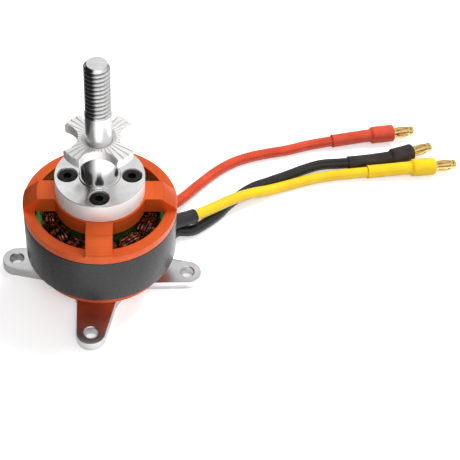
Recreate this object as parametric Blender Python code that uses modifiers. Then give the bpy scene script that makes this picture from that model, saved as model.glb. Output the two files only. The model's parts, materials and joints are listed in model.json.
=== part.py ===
"""A brushless outrunner motor with a propeller adapter, an X mount and three plug leads.

The stator stands still: an X mount, a base with a bearing tube, a twelve-tooth core, three
phase windings and three leads. The rotor turns round it on two ball bearings: a front bell,
a flux ring with fourteen magnets, a shaft, a propeller adapter and a drive washer.

Metres, +Z up. The origin is on the motor's axis, at the underside of the X mount.
"""

import math

import bmesh
import bpy
from mathutils import Matrix, Vector

MM = 0.001
TURN = 2 * math.pi

# Gaps between pieces that touch on the real motor.
SEAT_GAP = 0.05 * MM

# How far a cutter runs past the face that it cuts through.
CUT_PAST = 1.0 * MM

# Sides of round shapes, and the angle from which an edge is sharp.
ROUND_STEPS = 32
SHAFT_STEPS = 24
SMALL_STEPS = 16
SHARP_ANGLE = math.radians(32)

# X mount.
MOUNT_THICKNESS = 3.5 * MM
ARM_HOLE_CIRCLE = 29.5 * MM
ARM_END_RADIUS = 4.85 * MM
ARM_HOLE_RADIUS = 2.2 * MM
ARM_ROOT = 17.5 * MM
ARM_ROOT_HALF_WIDTH = 6.4 * MM
ARM_COUNT = 4

# Base: a boss on the mount, a dish for the ends of the coils, and the bearing tube.
BASE_BOTTOM = MOUNT_THICKNESS + SEAT_GAP
BOSS_RADIUS = 15.0 * MM
FLANGE_RADIUS = 22.5 * MM
FLANGE_BOTTOM = 10.0 * MM
FLANGE_TOP = 13.9 * MM
FLANGE_CHAMFER = 0.5 * MM
DISH_RADIUS = 20.9 * MM
DISH_FLOOR = 12.2 * MM
TUBE_RADIUS = 9.5 * MM
TUBE_TOP = 31.0 * MM
TUBE_BORE = 6.7 * MM
LEAD_SLOT_INNER = 15.4 * MM
LEAD_SLOT_OUTER = 21.3 * MM
LEAD_SLOT_FROM_DEG = 20.5
LEAD_SLOT_TO_DEG = 69.5
LEAD_SLOT_RISE = 0.5 * MM

# Countersunk screws that hold the mount to the base.
MOUNT_SCREW_CIRCLE = 12.5 * MM
MOUNT_SCREW_HEAD_RADIUS = 2.75 * MM
MOUNT_SCREW_HEAD_HEIGHT = 1.65 * MM
MOUNT_SCREW_LENGTH = 8.0 * MM
MOUNT_HEX_RADIUS = 1.0 * MM
MOUNT_HEX_DEPTH = 1.3 * MM
MOUNT_TAP_SPARE = 0.5 * MM
M3_RADIUS = 1.45 * MM
M3_HOLE_RADIUS = 1.5 * MM
M3_CLEARANCE_RADIUS = 1.6 * MM

# Stator core.
TOOTH_COUNT = 12
TOOTH_OFFSET_DEG = 12.0
CORE_BOTTOM = 17.0 * MM
CORE_TOP = 29.5 * MM
CORE_BORE = TUBE_RADIUS + SEAT_GAP
CORE_RING_RADIUS = 12.3 * MM
CORE_RADIUS = 21.0 * MM
TOOTH_HALF_WIDTH = 1.3 * MM
TIP_INNER = 19.7 * MM
TIP_HALF_DEG = 12.8

# Windings: one coil on each tooth, joined by a wire under the coils.
COIL_INNER = 12.9 * MM
COIL_OUTER = 19.2 * MM
COIL_INNER_HALF_WIDTH = 3.15 * MM
COIL_OUTER_HALF_WIDTH = 4.3 * MM
COIL_OVERHANG = 3.1 * MM
COIL_ROUNDING = 1.9 * MM
COIL_GAP = 0.12 * MM
JUMPER_RADIUS = 0.4 * MM
JUMPER_RISE_TOP = 15.0 * MM
TOOTH_CUT_LENGTH = 30.0 * MM
JUMPER_HEIGHT = 12.95 * MM
JUMPER_CIRCLES = (13.3 * MM, 14.4 * MM, 15.5 * MM)
PHASE_TEETH = {"a": (0, 1, 6, 7), "b": (2, 3, 8, 9), "c": (4, 5, 10, 11)}

# Ball bearings.
BEARING_RADIUS = 7.5 * MM
BEARING_BORE = 3.03 * MM
BEARING_WIDTH = 5.0 * MM
OUTER_RACE_RADIUS = 6.2 * MM
INNER_RACE_RADIUS = 4.4 * MM
BALL_CIRCLE = 5.3 * MM
BALL_RADIUS = 0.85 * MM
BALL_COUNT = 7
CAGE_HALF_THICKNESS = 0.3 * MM
CAGE_HALF_WIDTH = 1.3 * MM
BEARING_SEAT_RADIUS = BEARING_RADIUS + 0.03 * MM
REAR_BEARING_BOTTOM = 6.8 * MM
FRONT_BEARING_BOTTOM = TUBE_TOP - BEARING_WIDTH

# Rotor shaft with its clip.
SHAFT_RADIUS = 3.0 * MM
SHAFT_BOTTOM = 4.3 * MM
SHAFT_TOP = 45.2 * MM
SHAFT_CHAMFER = 0.3 * MM
CLIP_BOTTOM = 5.3 * MM
CLIP_THICKNESS = 0.7 * MM
CLIP_MOUTH = 3.4 * MM
CLIP_RADIUS = 4.6 * MM
GROOVE_RADIUS = 2.4 * MM
WASHER_THICKNESS = 0.6 * MM
WASHER_RADIUS = 4.3 * MM

# Rotor can and magnets.
CAN_RADIUS = 25.0 * MM
RING_INNER = 23.4 * MM
RING_BOTTOM = 14.6 * MM
RING_TOP = 32.2 * MM
MAGNET_COUNT = 14
MAGNET_INNER = 21.45 * MM
MAGNET_OUTER = 23.25 * MM
MAGNET_BOTTOM = 16.3 * MM
MAGNET_TOP = 31.0 * MM
MAGNET_SPAN_DEG = 21.5

# Front bell.
ROTOR_ANGLE_DEG = 6.0
SPOKE_COUNT = 4
SPOKE_WIDTH = 8.4 * MM
BELL_TOP = 40.3 * MM
BELL_FLAT_RADIUS = 20.2 * MM
BELL_CORNER_HEIGHT = 36.0 * MM
BELL_UNDERSIDE = 34.6 * MM
BELL_HUB_RADIUS = 14.9 * MM
BELL_NECK_RADIUS = 5.2 * MM
RIM_TOP = 35.2 * MM
RIM_INNER = 21.6 * MM
WINDOW_RADIUS = RIM_INNER - 0.1 * MM
SPIGOT_BOTTOM = 31.3 * MM

# Cutters for the windows between the spokes, and what they leave.
WINDOW_CUT_RADIUS = 40.0 * MM
WINDOW_CUT_BOTTOM = 29.0 * MM
WINDOW_CUT_TOP = 45.0 * MM
KEEP_REACH = 45.0 * MM
KEEP_BOTTOM = 20.0 * MM
KEEP_TOP = 50.0 * MM

# Propeller adapter: a flange, a neck, a plain shank and an M8 stud in one piece.
ADAPTER_RADIUS = 14.4 * MM
ADAPTER_BOTTOM = BELL_TOP + SEAT_GAP
ADAPTER_TOP = 47.0 * MM
ADAPTER_CHAMFER = 0.5 * MM
COLLAR_RADIUS = 6.6 * MM
COLLAR_HEIGHT = 0.6 * MM
NECK_RADIUS = 5.95 * MM
NECK_TOP = 59.8 * MM
SHANK_RADIUS = 4.2 * MM
SHANK_TOP = 73.4 * MM
STUD_RADIUS = 4.0 * MM
STUD_TOP = 92.0 * MM
STUD_CHAMFER = 1.0 * MM

# Socket-head screws in the adapter's counterbores.
ADAPTER_SCREW_CIRCLE = 10.2 * MM
COUNTERBORE_RADIUS = 3.25 * MM
COUNTERBORE_FLOOR = 43.7 * MM
CAP_HEAD_RADIUS = 2.95 * MM
CAP_HEAD_HEIGHT = 3.0 * MM
CAP_HEAD_EDGE = 0.3 * MM
CAP_SCREW_LENGTH = 7.2 * MM
HEX_SOCKET_RADIUS = 1.45 * MM
HEX_SOCKET_DEPTH = 1.5 * MM

# Drive washer under the propeller.
DRIVE_WASHER_RADIUS = 12.1 * MM
DRIVE_WASHER_BOTTOM = NECK_TOP + SEAT_GAP
DRIVE_WASHER_TOP = 63.3 * MM
DRIVE_WASHER_BORE = 4.26 * MM
NOTCH_CIRCLE = 12.3 * MM
NOTCH_RADIUS = 6.0 * MM

# Leads, each with a heat-shrunk bullet plug. A route is given from the motor outwards.
LEAD_RADIUS = 2.0 * MM
LEAD_START_HEIGHT = 13.4 * MM
LEAD_REST_HEIGHT = 2.05 * MM
POINTS_PER_SPAN = 2
SHRINK_REST_HEIGHT = 2.6 * MM
PLUG_REST_HEIGHT = 3.4 * MM
SLEEVE_BORE = 2.26 * MM
SHRINK_RADIUS = 2.5 * MM
SHRINK_PLUG_BORE = 3.05 * MM
SHRINK_PLUG_RADIUS = 3.35 * MM
SHRINK_PLUG_LENGTH = 9.0 * MM
SHRINK_SHOULDER = 1.5 * MM
SHRINK_STEP = 0.6 * MM
EXIT_SLEEVE_RADIUS = 2.7 * MM
EXIT_SLEEVE_SPANS = (3, 5)
PLUG_BODY_RADIUS = 2.75 * MM
PLUG_BODY_START = 0.8 * MM
PLUG_BODY_LENGTH = 8.0 * MM
PIN_TIP = 17.9 * MM
PIN_CORE_RADIUS = 1.3 * MM
PIN_END_RADIUS = 1.95 * MM
PIN_END_LENGTH = 1.7 * MM
PIN_EDGE = 0.5 * MM
CONTACT_INNER = 1.4 * MM
CONTACT_END_RADIUS = 1.85 * MM
CONTACT_BULGE_RADIUS = 2.15 * MM
CONTACT_THICKNESS = 0.35 * MM

LEADS = {
    "red": {
        "colour": (0.80, 0.10, 0.03),
        "start": (9.0, 15.4),
        "route": (
            (9.2, 15.7, 9.8), (12.0, 19.2, 6.7), (17.3, 25.3, 5.9), (23.7, 32.4, 4.6),
            (30.3, 43.2, 2.7), (36.6, 51.9), (43.1, 58.0), (49.8, 62.0), (56.6, 64.8),
            (63.5, 67.3), (72.0, 71.2),
        ),
        "shrink_start": (81.0, 74.0),
        "plug_start": (96.4, 78.4),
        "heading_deg": 15.3,
    },
    "black": {
        "colour": (0.02, 0.02, 0.022),
        "start": (15.4, 8.9),
        "route": (
            (15.7, 9.1, 9.8), (18.2, 11.1, 5.3), (21.2, 15.6, 2.7), (24.5, 20.0, 2.1),
            (29.7, 20.9), (34.0, 24.6), (38.4, 29.6), (42.7, 36.2), (50.0, 44.4),
            (57.0, 48.9), (63.7, 53.0), (70.5, 57.4), (77.5, 60.8),
        ),
        "shrink_start": (87.1, 62.3),
        "plug_start": (103.9, 66.4),
        "heading_deg": 26.5,
    },
    "yellow": {
        "colour": (0.90, 0.66, 0.02),
        "start": (12.6, 12.5),
        "route": (
            (12.8, 12.7, 9.8), (15.4, 14.5, 7.1), (19.5, 17.0, 7.5), (24.1, 19.6, 7.6),
            (30.5, 23.7, 7.0), (37.6, 29.5, 6.4), (43.9, 34.6, 6.0), (50.4, 39.7, 4.4),
            (57.0, 43.7, 2.9), (63.7, 47.7), (77.3, 53.9),
        ),
        "shrink_start": (94.5, 58.1),
        "plug_start": (111.6, 61.6),
        "heading_deg": 12.4,
    },
}


# --- Collections, materials and objects -------------------------------------------------


def clear_scene():
    for item in list(bpy.data.objects):
        bpy.data.objects.remove(item, do_unlink=True)


def new_collection(name):
    made = bpy.data.collections.new(name)
    bpy.context.scene.collection.children.link(made)
    return made


def material(name, colour, roughness, metallic=0.0):
    made = bpy.data.materials.new(name)
    made.use_nodes = True
    shader = made.node_tree.nodes["Principled BSDF"]
    shader.inputs["Base Color"].default_value = (*colour, 1.0)
    shader.inputs["Roughness"].default_value = roughness
    shader.inputs["Metallic"].default_value = metallic
    return made


def add_object(name, mesh, finish=None):
    """A part when it has a finish, and a hidden cutter when it has none."""
    made = bpy.data.objects.new(name, mesh)
    if finish is None:
        CUTTERS.objects.link(made)
        made.hide_render = True
        made.display_type = "WIRE"
    else:
        PARTS.objects.link(made)
        mesh.materials.append(finish)
    return made


def mesh_from(bm, name):
    mesh = bpy.data.meshes.new(name)
    bm.to_mesh(mesh)
    bm.free()
    return mesh


def evaluated_mesh(obj):
    bpy.context.view_layer.update()
    graph = bpy.context.evaluated_depsgraph_get()
    return bpy.data.meshes.new_from_object(obj.evaluated_get(graph))


def apply_modifiers(obj):
    """Keeps the shape that the modifiers give, shaded smooth across its shallow edges."""
    mesh = evaluated_mesh(obj)
    obj.modifiers.clear()
    obj.data = mesh
    mesh.shade_smooth()
    mesh.set_sharp_from_angle(angle=SHARP_ANGLE)
    return obj


def boolean(obj, other, operation="DIFFERENCE"):
    modifier = obj.modifiers.new(f"{operation.lower()} {other.name}", "BOOLEAN")
    modifier.operation = operation
    modifier.solver = "EXACT"
    modifier.object = other
    return obj


def polar(radius, degrees):
    angle = math.radians(degrees)
    return radius * math.cos(angle), radius * math.sin(angle)


# --- Basic shapes -----------------------------------------------------------------------


def turned(name, profile, finish=None, steps=ROUND_STEPS):
    """A solid of revolution about Z. The profile is (radius, height), its outer side going
    down, and it closes on itself unless it starts on the axis."""
    bm = bmesh.new()
    verts = [bm.verts.new((radius, 0.0, height)) for radius, height in profile]
    for here, there in zip(verts, verts[1:]):
        bm.edges.new((here, there))
    if profile[0][0] > 0.0:
        bm.edges.new((verts[-1], verts[0]))
    obj = add_object(name, mesh_from(bm, name), finish)
    screw = obj.modifiers.new("turn", "SCREW")
    screw.axis = "Z"
    screw.angle = TURN
    screw.steps = steps
    screw.render_steps = steps
    screw.use_merge_vertices = True
    screw.merge_threshold = 1e-6
    return obj


def cylinder(name, radius, bottom, top, at=(0.0, 0.0), steps=SMALL_STEPS, finish=None):
    bm = bmesh.new()
    bmesh.ops.create_cone(
        bm, cap_ends=True, segments=steps, radius1=radius, radius2=radius, depth=top - bottom
    )
    bmesh.ops.translate(bm, verts=bm.verts, vec=(at[0], at[1], (bottom + top) / 2))
    return add_object(name, mesh_from(bm, name), finish)


def block(name, size, centre, turn_deg=0.0, finish=None):
    """A box of this size, turned about the motor's axis after it is placed."""
    bm = bmesh.new()
    bmesh.ops.create_cube(bm, size=1.0)
    bmesh.ops.scale(bm, vec=size, verts=bm.verts)
    bmesh.ops.translate(bm, vec=centre, verts=bm.verts)
    spin = Matrix.Rotation(math.radians(turn_deg), 4, "Z")
    bmesh.ops.transform(bm, matrix=spin, verts=bm.verts)
    return add_object(name, mesh_from(bm, name), finish)


def flat_plate(name, outlines, bottom, top, finish=None):
    """A plate between two heights from closed outlines, the first outside and the rest holes."""
    curve = bpy.data.curves.new(name, "CURVE")
    curve.dimensions = "2D"
    curve.fill_mode = "BOTH"
    curve.extrude = (top - bottom) / 2
    for outline in outlines:
        spline = curve.splines.new("POLY")
        spline.points.add(len(outline) - 1)
        spline.use_cyclic_u = True
        for point, (x, y) in zip(spline.points, outline):
            point.co = (x, y, 0.0, 1.0)
    guide = bpy.data.objects.new(name + "_outline", curve)
    guide.location.z = (bottom + top) / 2
    CUTTERS.objects.link(guide)
    return mesh_of_curve(name, guide, finish)


def mesh_of_curve(name, guide, finish):
    """A mesh object that takes a curve's place, with its caps welded on."""
    mesh = evaluated_mesh(guide)
    bm = bmesh.new()
    bm.from_mesh(mesh)
    bpy.data.meshes.remove(mesh)
    bmesh.ops.remove_doubles(bm, verts=bm.verts, dist=1e-6)
    bmesh.ops.transform(bm, matrix=guide.matrix_world, verts=bm.verts)
    bmesh.ops.recalc_face_normals(bm, faces=bm.faces)
    bpy.data.objects.remove(guide, do_unlink=True)
    return add_object(name, mesh_from(bm, name), finish)


def tube(name, path, radii, finish=None, sides_resolution=2, cyclic=False):
    """A round bar along a path of points, with a radius at each point."""
    curve = bpy.data.curves.new(name, "CURVE")
    curve.dimensions = "3D"
    curve.bevel_depth = 1.0
    curve.bevel_resolution = sides_resolution
    curve.use_fill_caps = True
    spline = curve.splines.new("POLY")
    spline.points.add(len(path) - 1)
    spline.use_cyclic_u = cyclic
    for point, place, radius in zip(spline.points, path, radii):
        point.co = (*place, 1.0)
        point.radius = radius
    guide = bpy.data.objects.new(name + "_path", curve)
    CUTTERS.objects.link(guide)
    return mesh_of_curve(name, guide, finish)


def arc(radius, from_deg, to_deg, count):
    """Points along an arc about the motor's axis, both ends included."""
    step = (to_deg - from_deg) / (count - 1)
    return [polar(radius, from_deg + step * i) for i in range(count)]


def sector(name, inner, outer, from_deg, to_deg, bottom, top, count, finish=None):
    outline = arc(outer, from_deg, to_deg, count) + arc(inner, to_deg, from_deg, count)
    return flat_plate(name, [outline], bottom, top, finish)


# --- Fixed side -------------------------------------------------------------------------


def arm_outline(turn_deg):
    """One arm's edge, from its root on one side round its end, then the fillet to the next."""
    end_steps, fillet_steps = 9, 5
    side = [(ARM_ROOT, -ARM_ROOT_HALF_WIDTH)]
    for i in range(end_steps):
        across, along = polar(ARM_END_RADIUS, 180.0 * i / (end_steps - 1))
        side.append((ARM_HOLE_CIRCLE + along, -across))
    side.append((ARM_ROOT, ARM_ROOT_HALF_WIDTH))
    taper = math.atan2(ARM_ROOT_HALF_WIDTH - ARM_END_RADIUS, ARM_HOLE_CIRCLE - ARM_ROOT)
    radius = (ARM_ROOT - ARM_ROOT_HALF_WIDTH) / (math.cos(taper) - math.sin(taper))
    centre = ARM_ROOT + radius * math.sin(taper)
    first, last = -math.pi / 2 - taper, -math.pi + taper
    for i in range(1, fillet_steps):
        angle = first + (last - first) * i / fillet_steps
        side.append((centre + radius * math.cos(angle), centre + radius * math.sin(angle)))
    spin = Matrix.Rotation(math.radians(turn_deg), 2)
    return [tuple(spin @ Vector(point)) for point in side]


def make_x_mount(finish):
    outline = []
    for i in range(ARM_COUNT):
        outline += arm_outline(90.0 * i)
    mount = flat_plate("x_mount", [outline], 0.0, MOUNT_THICKNESS, finish)
    for i in range(ARM_COUNT):
        hole = polar(ARM_HOLE_CIRCLE, 90.0 * i)
        through = MOUNT_THICKNESS + CUT_PAST
        cutter = cylinder(f"cut_arm_hole_{i}", ARM_HOLE_RADIUS, -CUT_PAST, through, hole)
        boolean(mount, cutter)
        boolean(mount, countersink_cutter(f"cut_countersink_{i}", 90.0 * i))
    return apply_modifiers(mount)


def countersink_cutter(name, degrees):
    clearance = M3_CLEARANCE_RADIUS - M3_RADIUS
    profile = [
        (0.0, MOUNT_THICKNESS + CUT_PAST),
        (M3_CLEARANCE_RADIUS, MOUNT_THICKNESS + CUT_PAST),
        (M3_CLEARANCE_RADIUS, MOUNT_SCREW_HEAD_HEIGHT + clearance),
        (MOUNT_SCREW_HEAD_RADIUS + clearance, clearance),
        (MOUNT_SCREW_HEAD_RADIUS + clearance, -CUT_PAST),
        (0.0, -CUT_PAST),
    ]
    cutter = turned(name, profile, steps=SMALL_STEPS)
    cutter.location = (*polar(MOUNT_SCREW_CIRCLE, degrees), 0.0)
    return cutter


def make_mount_screws(finish):
    profile = [
        (0.0, MOUNT_SCREW_LENGTH),
        (M3_RADIUS, MOUNT_SCREW_LENGTH),
        (M3_RADIUS, MOUNT_SCREW_HEAD_HEIGHT),
        (MOUNT_SCREW_HEAD_RADIUS, 2 * SEAT_GAP),
        (0.0, 2 * SEAT_GAP),
    ]
    socket = cylinder(
        "cut_mount_hex", MOUNT_HEX_RADIUS, -CUT_PAST, MOUNT_HEX_DEPTH, steps=6
    )
    screw = boolean(turned("mount_screw_1", profile, finish, SMALL_STEPS), socket)
    place_copies(apply_modifiers(screw), "mount_screw", MOUNT_SCREW_CIRCLE, 0.0)


def place_copies(first, name, circle, start_deg):
    """Puts a part and its three copies on a circle. The copies share its mesh."""
    for i in range(4):
        copy = first if i == 0 else bpy.data.objects.new(f"{name}_{i + 1}", first.data)
        if i > 0:
            PARTS.objects.link(copy)
        copy.location = (*polar(circle, start_deg + 90.0 * i), 0.0)


def make_base(finish):
    rear_shoulder = REAR_BEARING_BOTTOM + BEARING_WIDTH + SEAT_GAP
    front_shoulder = FRONT_BEARING_BOTTOM - SEAT_GAP
    profile = [
        (BEARING_SEAT_RADIUS, TUBE_TOP),
        (TUBE_RADIUS, TUBE_TOP),
        (TUBE_RADIUS, DISH_FLOOR),
        (DISH_RADIUS, DISH_FLOOR),
        (DISH_RADIUS, FLANGE_TOP),
        (FLANGE_RADIUS - FLANGE_CHAMFER, FLANGE_TOP),
        (FLANGE_RADIUS, FLANGE_TOP - FLANGE_CHAMFER),
        (FLANGE_RADIUS, FLANGE_BOTTOM),
        (BOSS_RADIUS, FLANGE_BOTTOM),
        (BOSS_RADIUS, BASE_BOTTOM),
        (BEARING_SEAT_RADIUS, BASE_BOTTOM),
        (BEARING_SEAT_RADIUS, rear_shoulder),
        (TUBE_BORE, rear_shoulder),
        (TUBE_BORE, front_shoulder),
        (BEARING_SEAT_RADIUS, front_shoulder),
    ]
    base = turned("base_housing", profile, finish)
    slot = sector(
        "cut_lead_slot", LEAD_SLOT_INNER, LEAD_SLOT_OUTER, LEAD_SLOT_FROM_DEG,
        LEAD_SLOT_TO_DEG, FLANGE_BOTTOM - CUT_PAST, DISH_FLOOR + LEAD_SLOT_RISE, 9,
    )
    boolean(base, slot)
    bottom, top = BASE_BOTTOM - CUT_PAST, MOUNT_SCREW_LENGTH + MOUNT_TAP_SPARE
    for i in range(4):
        place = polar(MOUNT_SCREW_CIRCLE, 90.0 * i)
        hole = cylinder(f"cut_base_tap_{i}", M3_HOLE_RADIUS, bottom, top, place)
        boolean(base, hole)
    return apply_modifiers(base)


def tooth_outline(middle_deg):
    """One T-shaped tooth and half of the ring on each side of it, as it is seen from above."""
    spin = Matrix.Rotation(math.radians(middle_deg), 2)
    ring_deg = math.degrees(math.asin(TOOTH_HALF_WIDTH / CORE_RING_RADIUS))
    neck = math.sqrt(TIP_INNER**2 - TOOTH_HALF_WIDTH**2)
    left = [
        polar(CORE_RING_RADIUS, -ring_deg),
        (neck, -TOOTH_HALF_WIDTH),
        polar(TIP_INNER, -TIP_HALF_DEG),
    ]
    face = arc(CORE_RADIUS, -TIP_HALF_DEG, TIP_HALF_DEG, 4)
    right = [(x, -y) for x, y in reversed(left)]
    return [tuple(spin @ Vector(point)) for point in left + face + right]


def make_stator_core(finish):
    outline = []
    for i in range(TOOTH_COUNT):
        outline += tooth_outline(TOOTH_OFFSET_DEG + 360.0 * i / TOOTH_COUNT)
    bore = arc(CORE_BORE, 0.0, 360.0 * (1 - 1 / ROUND_STEPS), ROUND_STEPS)
    core = flat_plate("stator_core", [outline, bore], CORE_BOTTOM, CORE_TOP, finish)
    return apply_modifiers(core)


def coil_block(name, middle_deg, finish=None):
    """A rounded block that is wider away from the axis, so that neighbours just clear it."""
    bm = bmesh.new()
    bmesh.ops.create_cube(bm, size=2.0)
    half_height = (CORE_TOP - CORE_BOTTOM) / 2 + COIL_OVERHANG
    for vert in bm.verts:
        outside = vert.co.x > 0.0
        half_width = COIL_OUTER_HALF_WIDTH if outside else COIL_INNER_HALF_WIDTH
        vert.co.x = COIL_OUTER if outside else COIL_INNER
        vert.co.y *= half_width
        vert.co.z = (CORE_TOP + CORE_BOTTOM) / 2 + vert.co.z * half_height
    along = [e for e in bm.edges if abs(e.verts[0].co.x - e.verts[1].co.x) > MM]
    bmesh.ops.bevel(
        bm, geom=along, offset=COIL_ROUNDING, segments=2, profile=0.5, affect="EDGES"
    )
    spin = Matrix.Rotation(math.radians(middle_deg), 4, "Z")
    bmesh.ops.transform(bm, matrix=spin, verts=bm.verts)
    return add_object(name, mesh_from(bm, name), finish)


def make_winding(phase, teeth, circle, finish):
    """One phase: four coils, and the wire under them that joins their ends."""
    step = 360.0 / TOOTH_COUNT
    first, last = (TOOTH_OFFSET_DEG + step * teeth[i] for i in (0, -1))
    arc_points = arc(circle, first, last, 15)
    path = [(x, y, JUMPER_HEIGHT) for x, y in arc_points]
    name = f"winding_{phase}"
    winding = tube(name, path, [JUMPER_RADIUS] * len(path), finish, sides_resolution=1)
    for tooth in teeth:
        middle = TOOTH_OFFSET_DEG + step * tooth
        coil = coil_block(f"join_coil_{phase}{tooth}", middle)
        rise = cylinder(
            f"join_rise_{phase}{tooth}", 1.2 * JUMPER_RADIUS, JUMPER_HEIGHT,
            JUMPER_RISE_TOP, polar(circle, middle), steps=8,
        )
        hole_height = CORE_TOP - CORE_BOTTOM + 2 * COIL_GAP
        hole = block(
            f"cut_tooth_{phase}{tooth}",
            (TOOTH_CUT_LENGTH, 2 * (TOOTH_HALF_WIDTH + COIL_GAP), hole_height),
            (TOOTH_CUT_LENGTH / 2, 0.0, (CORE_TOP + CORE_BOTTOM) / 2), middle,
        )
        boolean(winding, coil, "UNION")
        boolean(winding, rise, "UNION")
        boolean(winding, hole)
    return apply_modifiers(winding)


# --- Bearings ---------------------------------------------------------------------------


def ring(name, inner, outer, bottom, top, finish=None, steps=ROUND_STEPS):
    profile = [(inner, top), (outer, top), (outer, bottom), (inner, bottom)]
    return turned(name, profile, finish, steps)


def make_ball_set(name, middle, finish):
    """The balls of one bearing with the cage that spaces them."""
    cage = ring(
        name, BALL_CIRCLE - CAGE_HALF_THICKNESS, BALL_CIRCLE + CAGE_HALF_THICKNESS,
        middle - CAGE_HALF_WIDTH, middle + CAGE_HALF_WIDTH, finish, SHAFT_STEPS,
    )
    for i in range(BALL_COUNT):
        bm = bmesh.new()
        bmesh.ops.create_uvsphere(bm, u_segments=6, v_segments=4, radius=BALL_RADIUS)
        ball = add_object(f"join_{name}_{i}", mesh_from(bm, name))
        ball.location = (*polar(BALL_CIRCLE, 360.0 * i / BALL_COUNT), middle)
        boolean(cage, ball, "UNION")
    return apply_modifiers(cage)


def make_bearing(place, bottom, steel):
    top = bottom + BEARING_WIDTH
    outer = ring(
        f"{place}_bearing_outer_ring", OUTER_RACE_RADIUS, BEARING_RADIUS, bottom, top, steel
    )
    inner = ring(
        f"{place}_bearing_inner_ring", BEARING_BORE, INNER_RACE_RADIUS, bottom, top, steel,
        SHAFT_STEPS,
    )
    apply_modifiers(outer)
    apply_modifiers(inner)
    make_ball_set(f"{place}_bearing_balls", (bottom + top) / 2, steel)


# --- Rotor ------------------------------------------------------------------------------


def make_shaft(finish):
    groove_top = CLIP_BOTTOM + CLIP_THICKNESS + SEAT_GAP
    groove_bottom = CLIP_BOTTOM - SEAT_GAP
    profile = [
        (0.0, SHAFT_TOP),
        (SHAFT_RADIUS, SHAFT_TOP),
        (SHAFT_RADIUS, groove_top),
        (GROOVE_RADIUS, groove_top),
        (GROOVE_RADIUS, groove_bottom),
        (SHAFT_RADIUS, groove_bottom),
        (SHAFT_RADIUS, SHAFT_BOTTOM + SHAFT_CHAMFER),
        (SHAFT_RADIUS - SHAFT_CHAMFER, SHAFT_BOTTOM),
        (0.0, SHAFT_BOTTOM),
    ]
    return apply_modifiers(turned("rotor_shaft", profile, finish, SHAFT_STEPS))


def make_retaining_clip(finish):
    clip = ring(
        "retaining_clip", GROOVE_RADIUS + SEAT_GAP, CLIP_RADIUS, CLIP_BOTTOM,
        CLIP_BOTTOM + CLIP_THICKNESS, finish, SHAFT_STEPS,
    )
    mouth = block(
        "cut_clip_mouth", (2 * CLIP_RADIUS, CLIP_MOUTH, 4 * CLIP_THICKNESS),
        (CLIP_RADIUS + CUT_PAST, 0.0, CLIP_BOTTOM),
    )
    return apply_modifiers(boolean(clip, mouth))


def make_thrust_washer(finish):
    bottom = CLIP_BOTTOM + CLIP_THICKNESS + SEAT_GAP
    top = bottom + WASHER_THICKNESS
    washer = ring(
        "thrust_washer", BEARING_BORE, WASHER_RADIUS, bottom, top, finish, SHAFT_STEPS
    )
    return apply_modifiers(washer)


def make_flux_ring(finish):
    can = ring("flux_ring", RING_INNER, CAN_RADIUS, RING_BOTTOM, RING_TOP - SEAT_GAP, finish)
    return apply_modifiers(can)


def make_magnets(finish):
    half = MAGNET_SPAN_DEG / 2
    for i in range(MAGNET_COUNT):
        middle = ROTOR_ANGLE_DEG + 360.0 * i / MAGNET_COUNT
        magnet = sector(
            f"magnet_{i + 1:02d}", MAGNET_INNER, MAGNET_OUTER, middle - half, middle + half,
            MAGNET_BOTTOM, MAGNET_TOP, 5, finish,
        )
        apply_modifiers(magnet)


def bell_windows():
    """What is missing between the spokes, outside the hub and above the rim."""
    windows = cylinder(
        "cut_windows", WINDOW_CUT_RADIUS, WINDOW_CUT_BOTTOM, WINDOW_CUT_TOP,
        steps=ROUND_STEPS,
    )
    size = (2 * KEEP_REACH, SPOKE_WIDTH, KEEP_TOP - KEEP_BOTTOM)
    middle = (0.0, 0.0, (KEEP_TOP + KEEP_BOTTOM) / 2)
    for i in range(SPOKE_COUNT // 2):
        spoke = block(f"keep_spoke_{i}", size, middle, ROTOR_ANGLE_DEG + 90.0 * i)
        boolean(windows, spoke)
    hub = cylinder("keep_hub", BELL_HUB_RADIUS, KEEP_BOTTOM, KEEP_TOP, steps=ROUND_STEPS)
    rim = ring("keep_rim", WINDOW_RADIUS, KEEP_REACH, KEEP_BOTTOM, RIM_TOP)
    boolean(windows, hub)
    return apply_modifiers(boolean(windows, rim))


def make_front_bell(finish):
    """A dome with a rim that fits the flux ring, cut through between its spokes."""
    bore_radius = SHAFT_RADIUS + SEAT_GAP
    neck_bottom = TUBE_TOP + SEAT_GAP
    spigot_radius = RING_INNER - SEAT_GAP
    profile = [
        (bore_radius, BELL_TOP),
        (BELL_FLAT_RADIUS, BELL_TOP),
        (CAN_RADIUS, BELL_CORNER_HEIGHT),
        (CAN_RADIUS, RING_TOP),
        (spigot_radius, RING_TOP),
        (spigot_radius, SPIGOT_BOTTOM),
        (RIM_INNER, SPIGOT_BOTTOM),
        (RIM_INNER, BELL_UNDERSIDE),
        (BELL_NECK_RADIUS, BELL_UNDERSIDE),
        (INNER_RACE_RADIUS, neck_bottom),
        (bore_radius, neck_bottom),
    ]
    bell = boolean(turned("front_bell", profile, finish), bell_windows())
    for i in range(SPOKE_COUNT):
        place = polar(ADAPTER_SCREW_CIRCLE, ROTOR_ANGLE_DEG + 90.0 * i)
        tap = cylinder(
            f"cut_bell_tap_{i}", M3_HOLE_RADIUS, WINDOW_CUT_BOTTOM, WINDOW_CUT_TOP, place
        )
        boolean(bell, tap)
    return apply_modifiers(bell)


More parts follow.
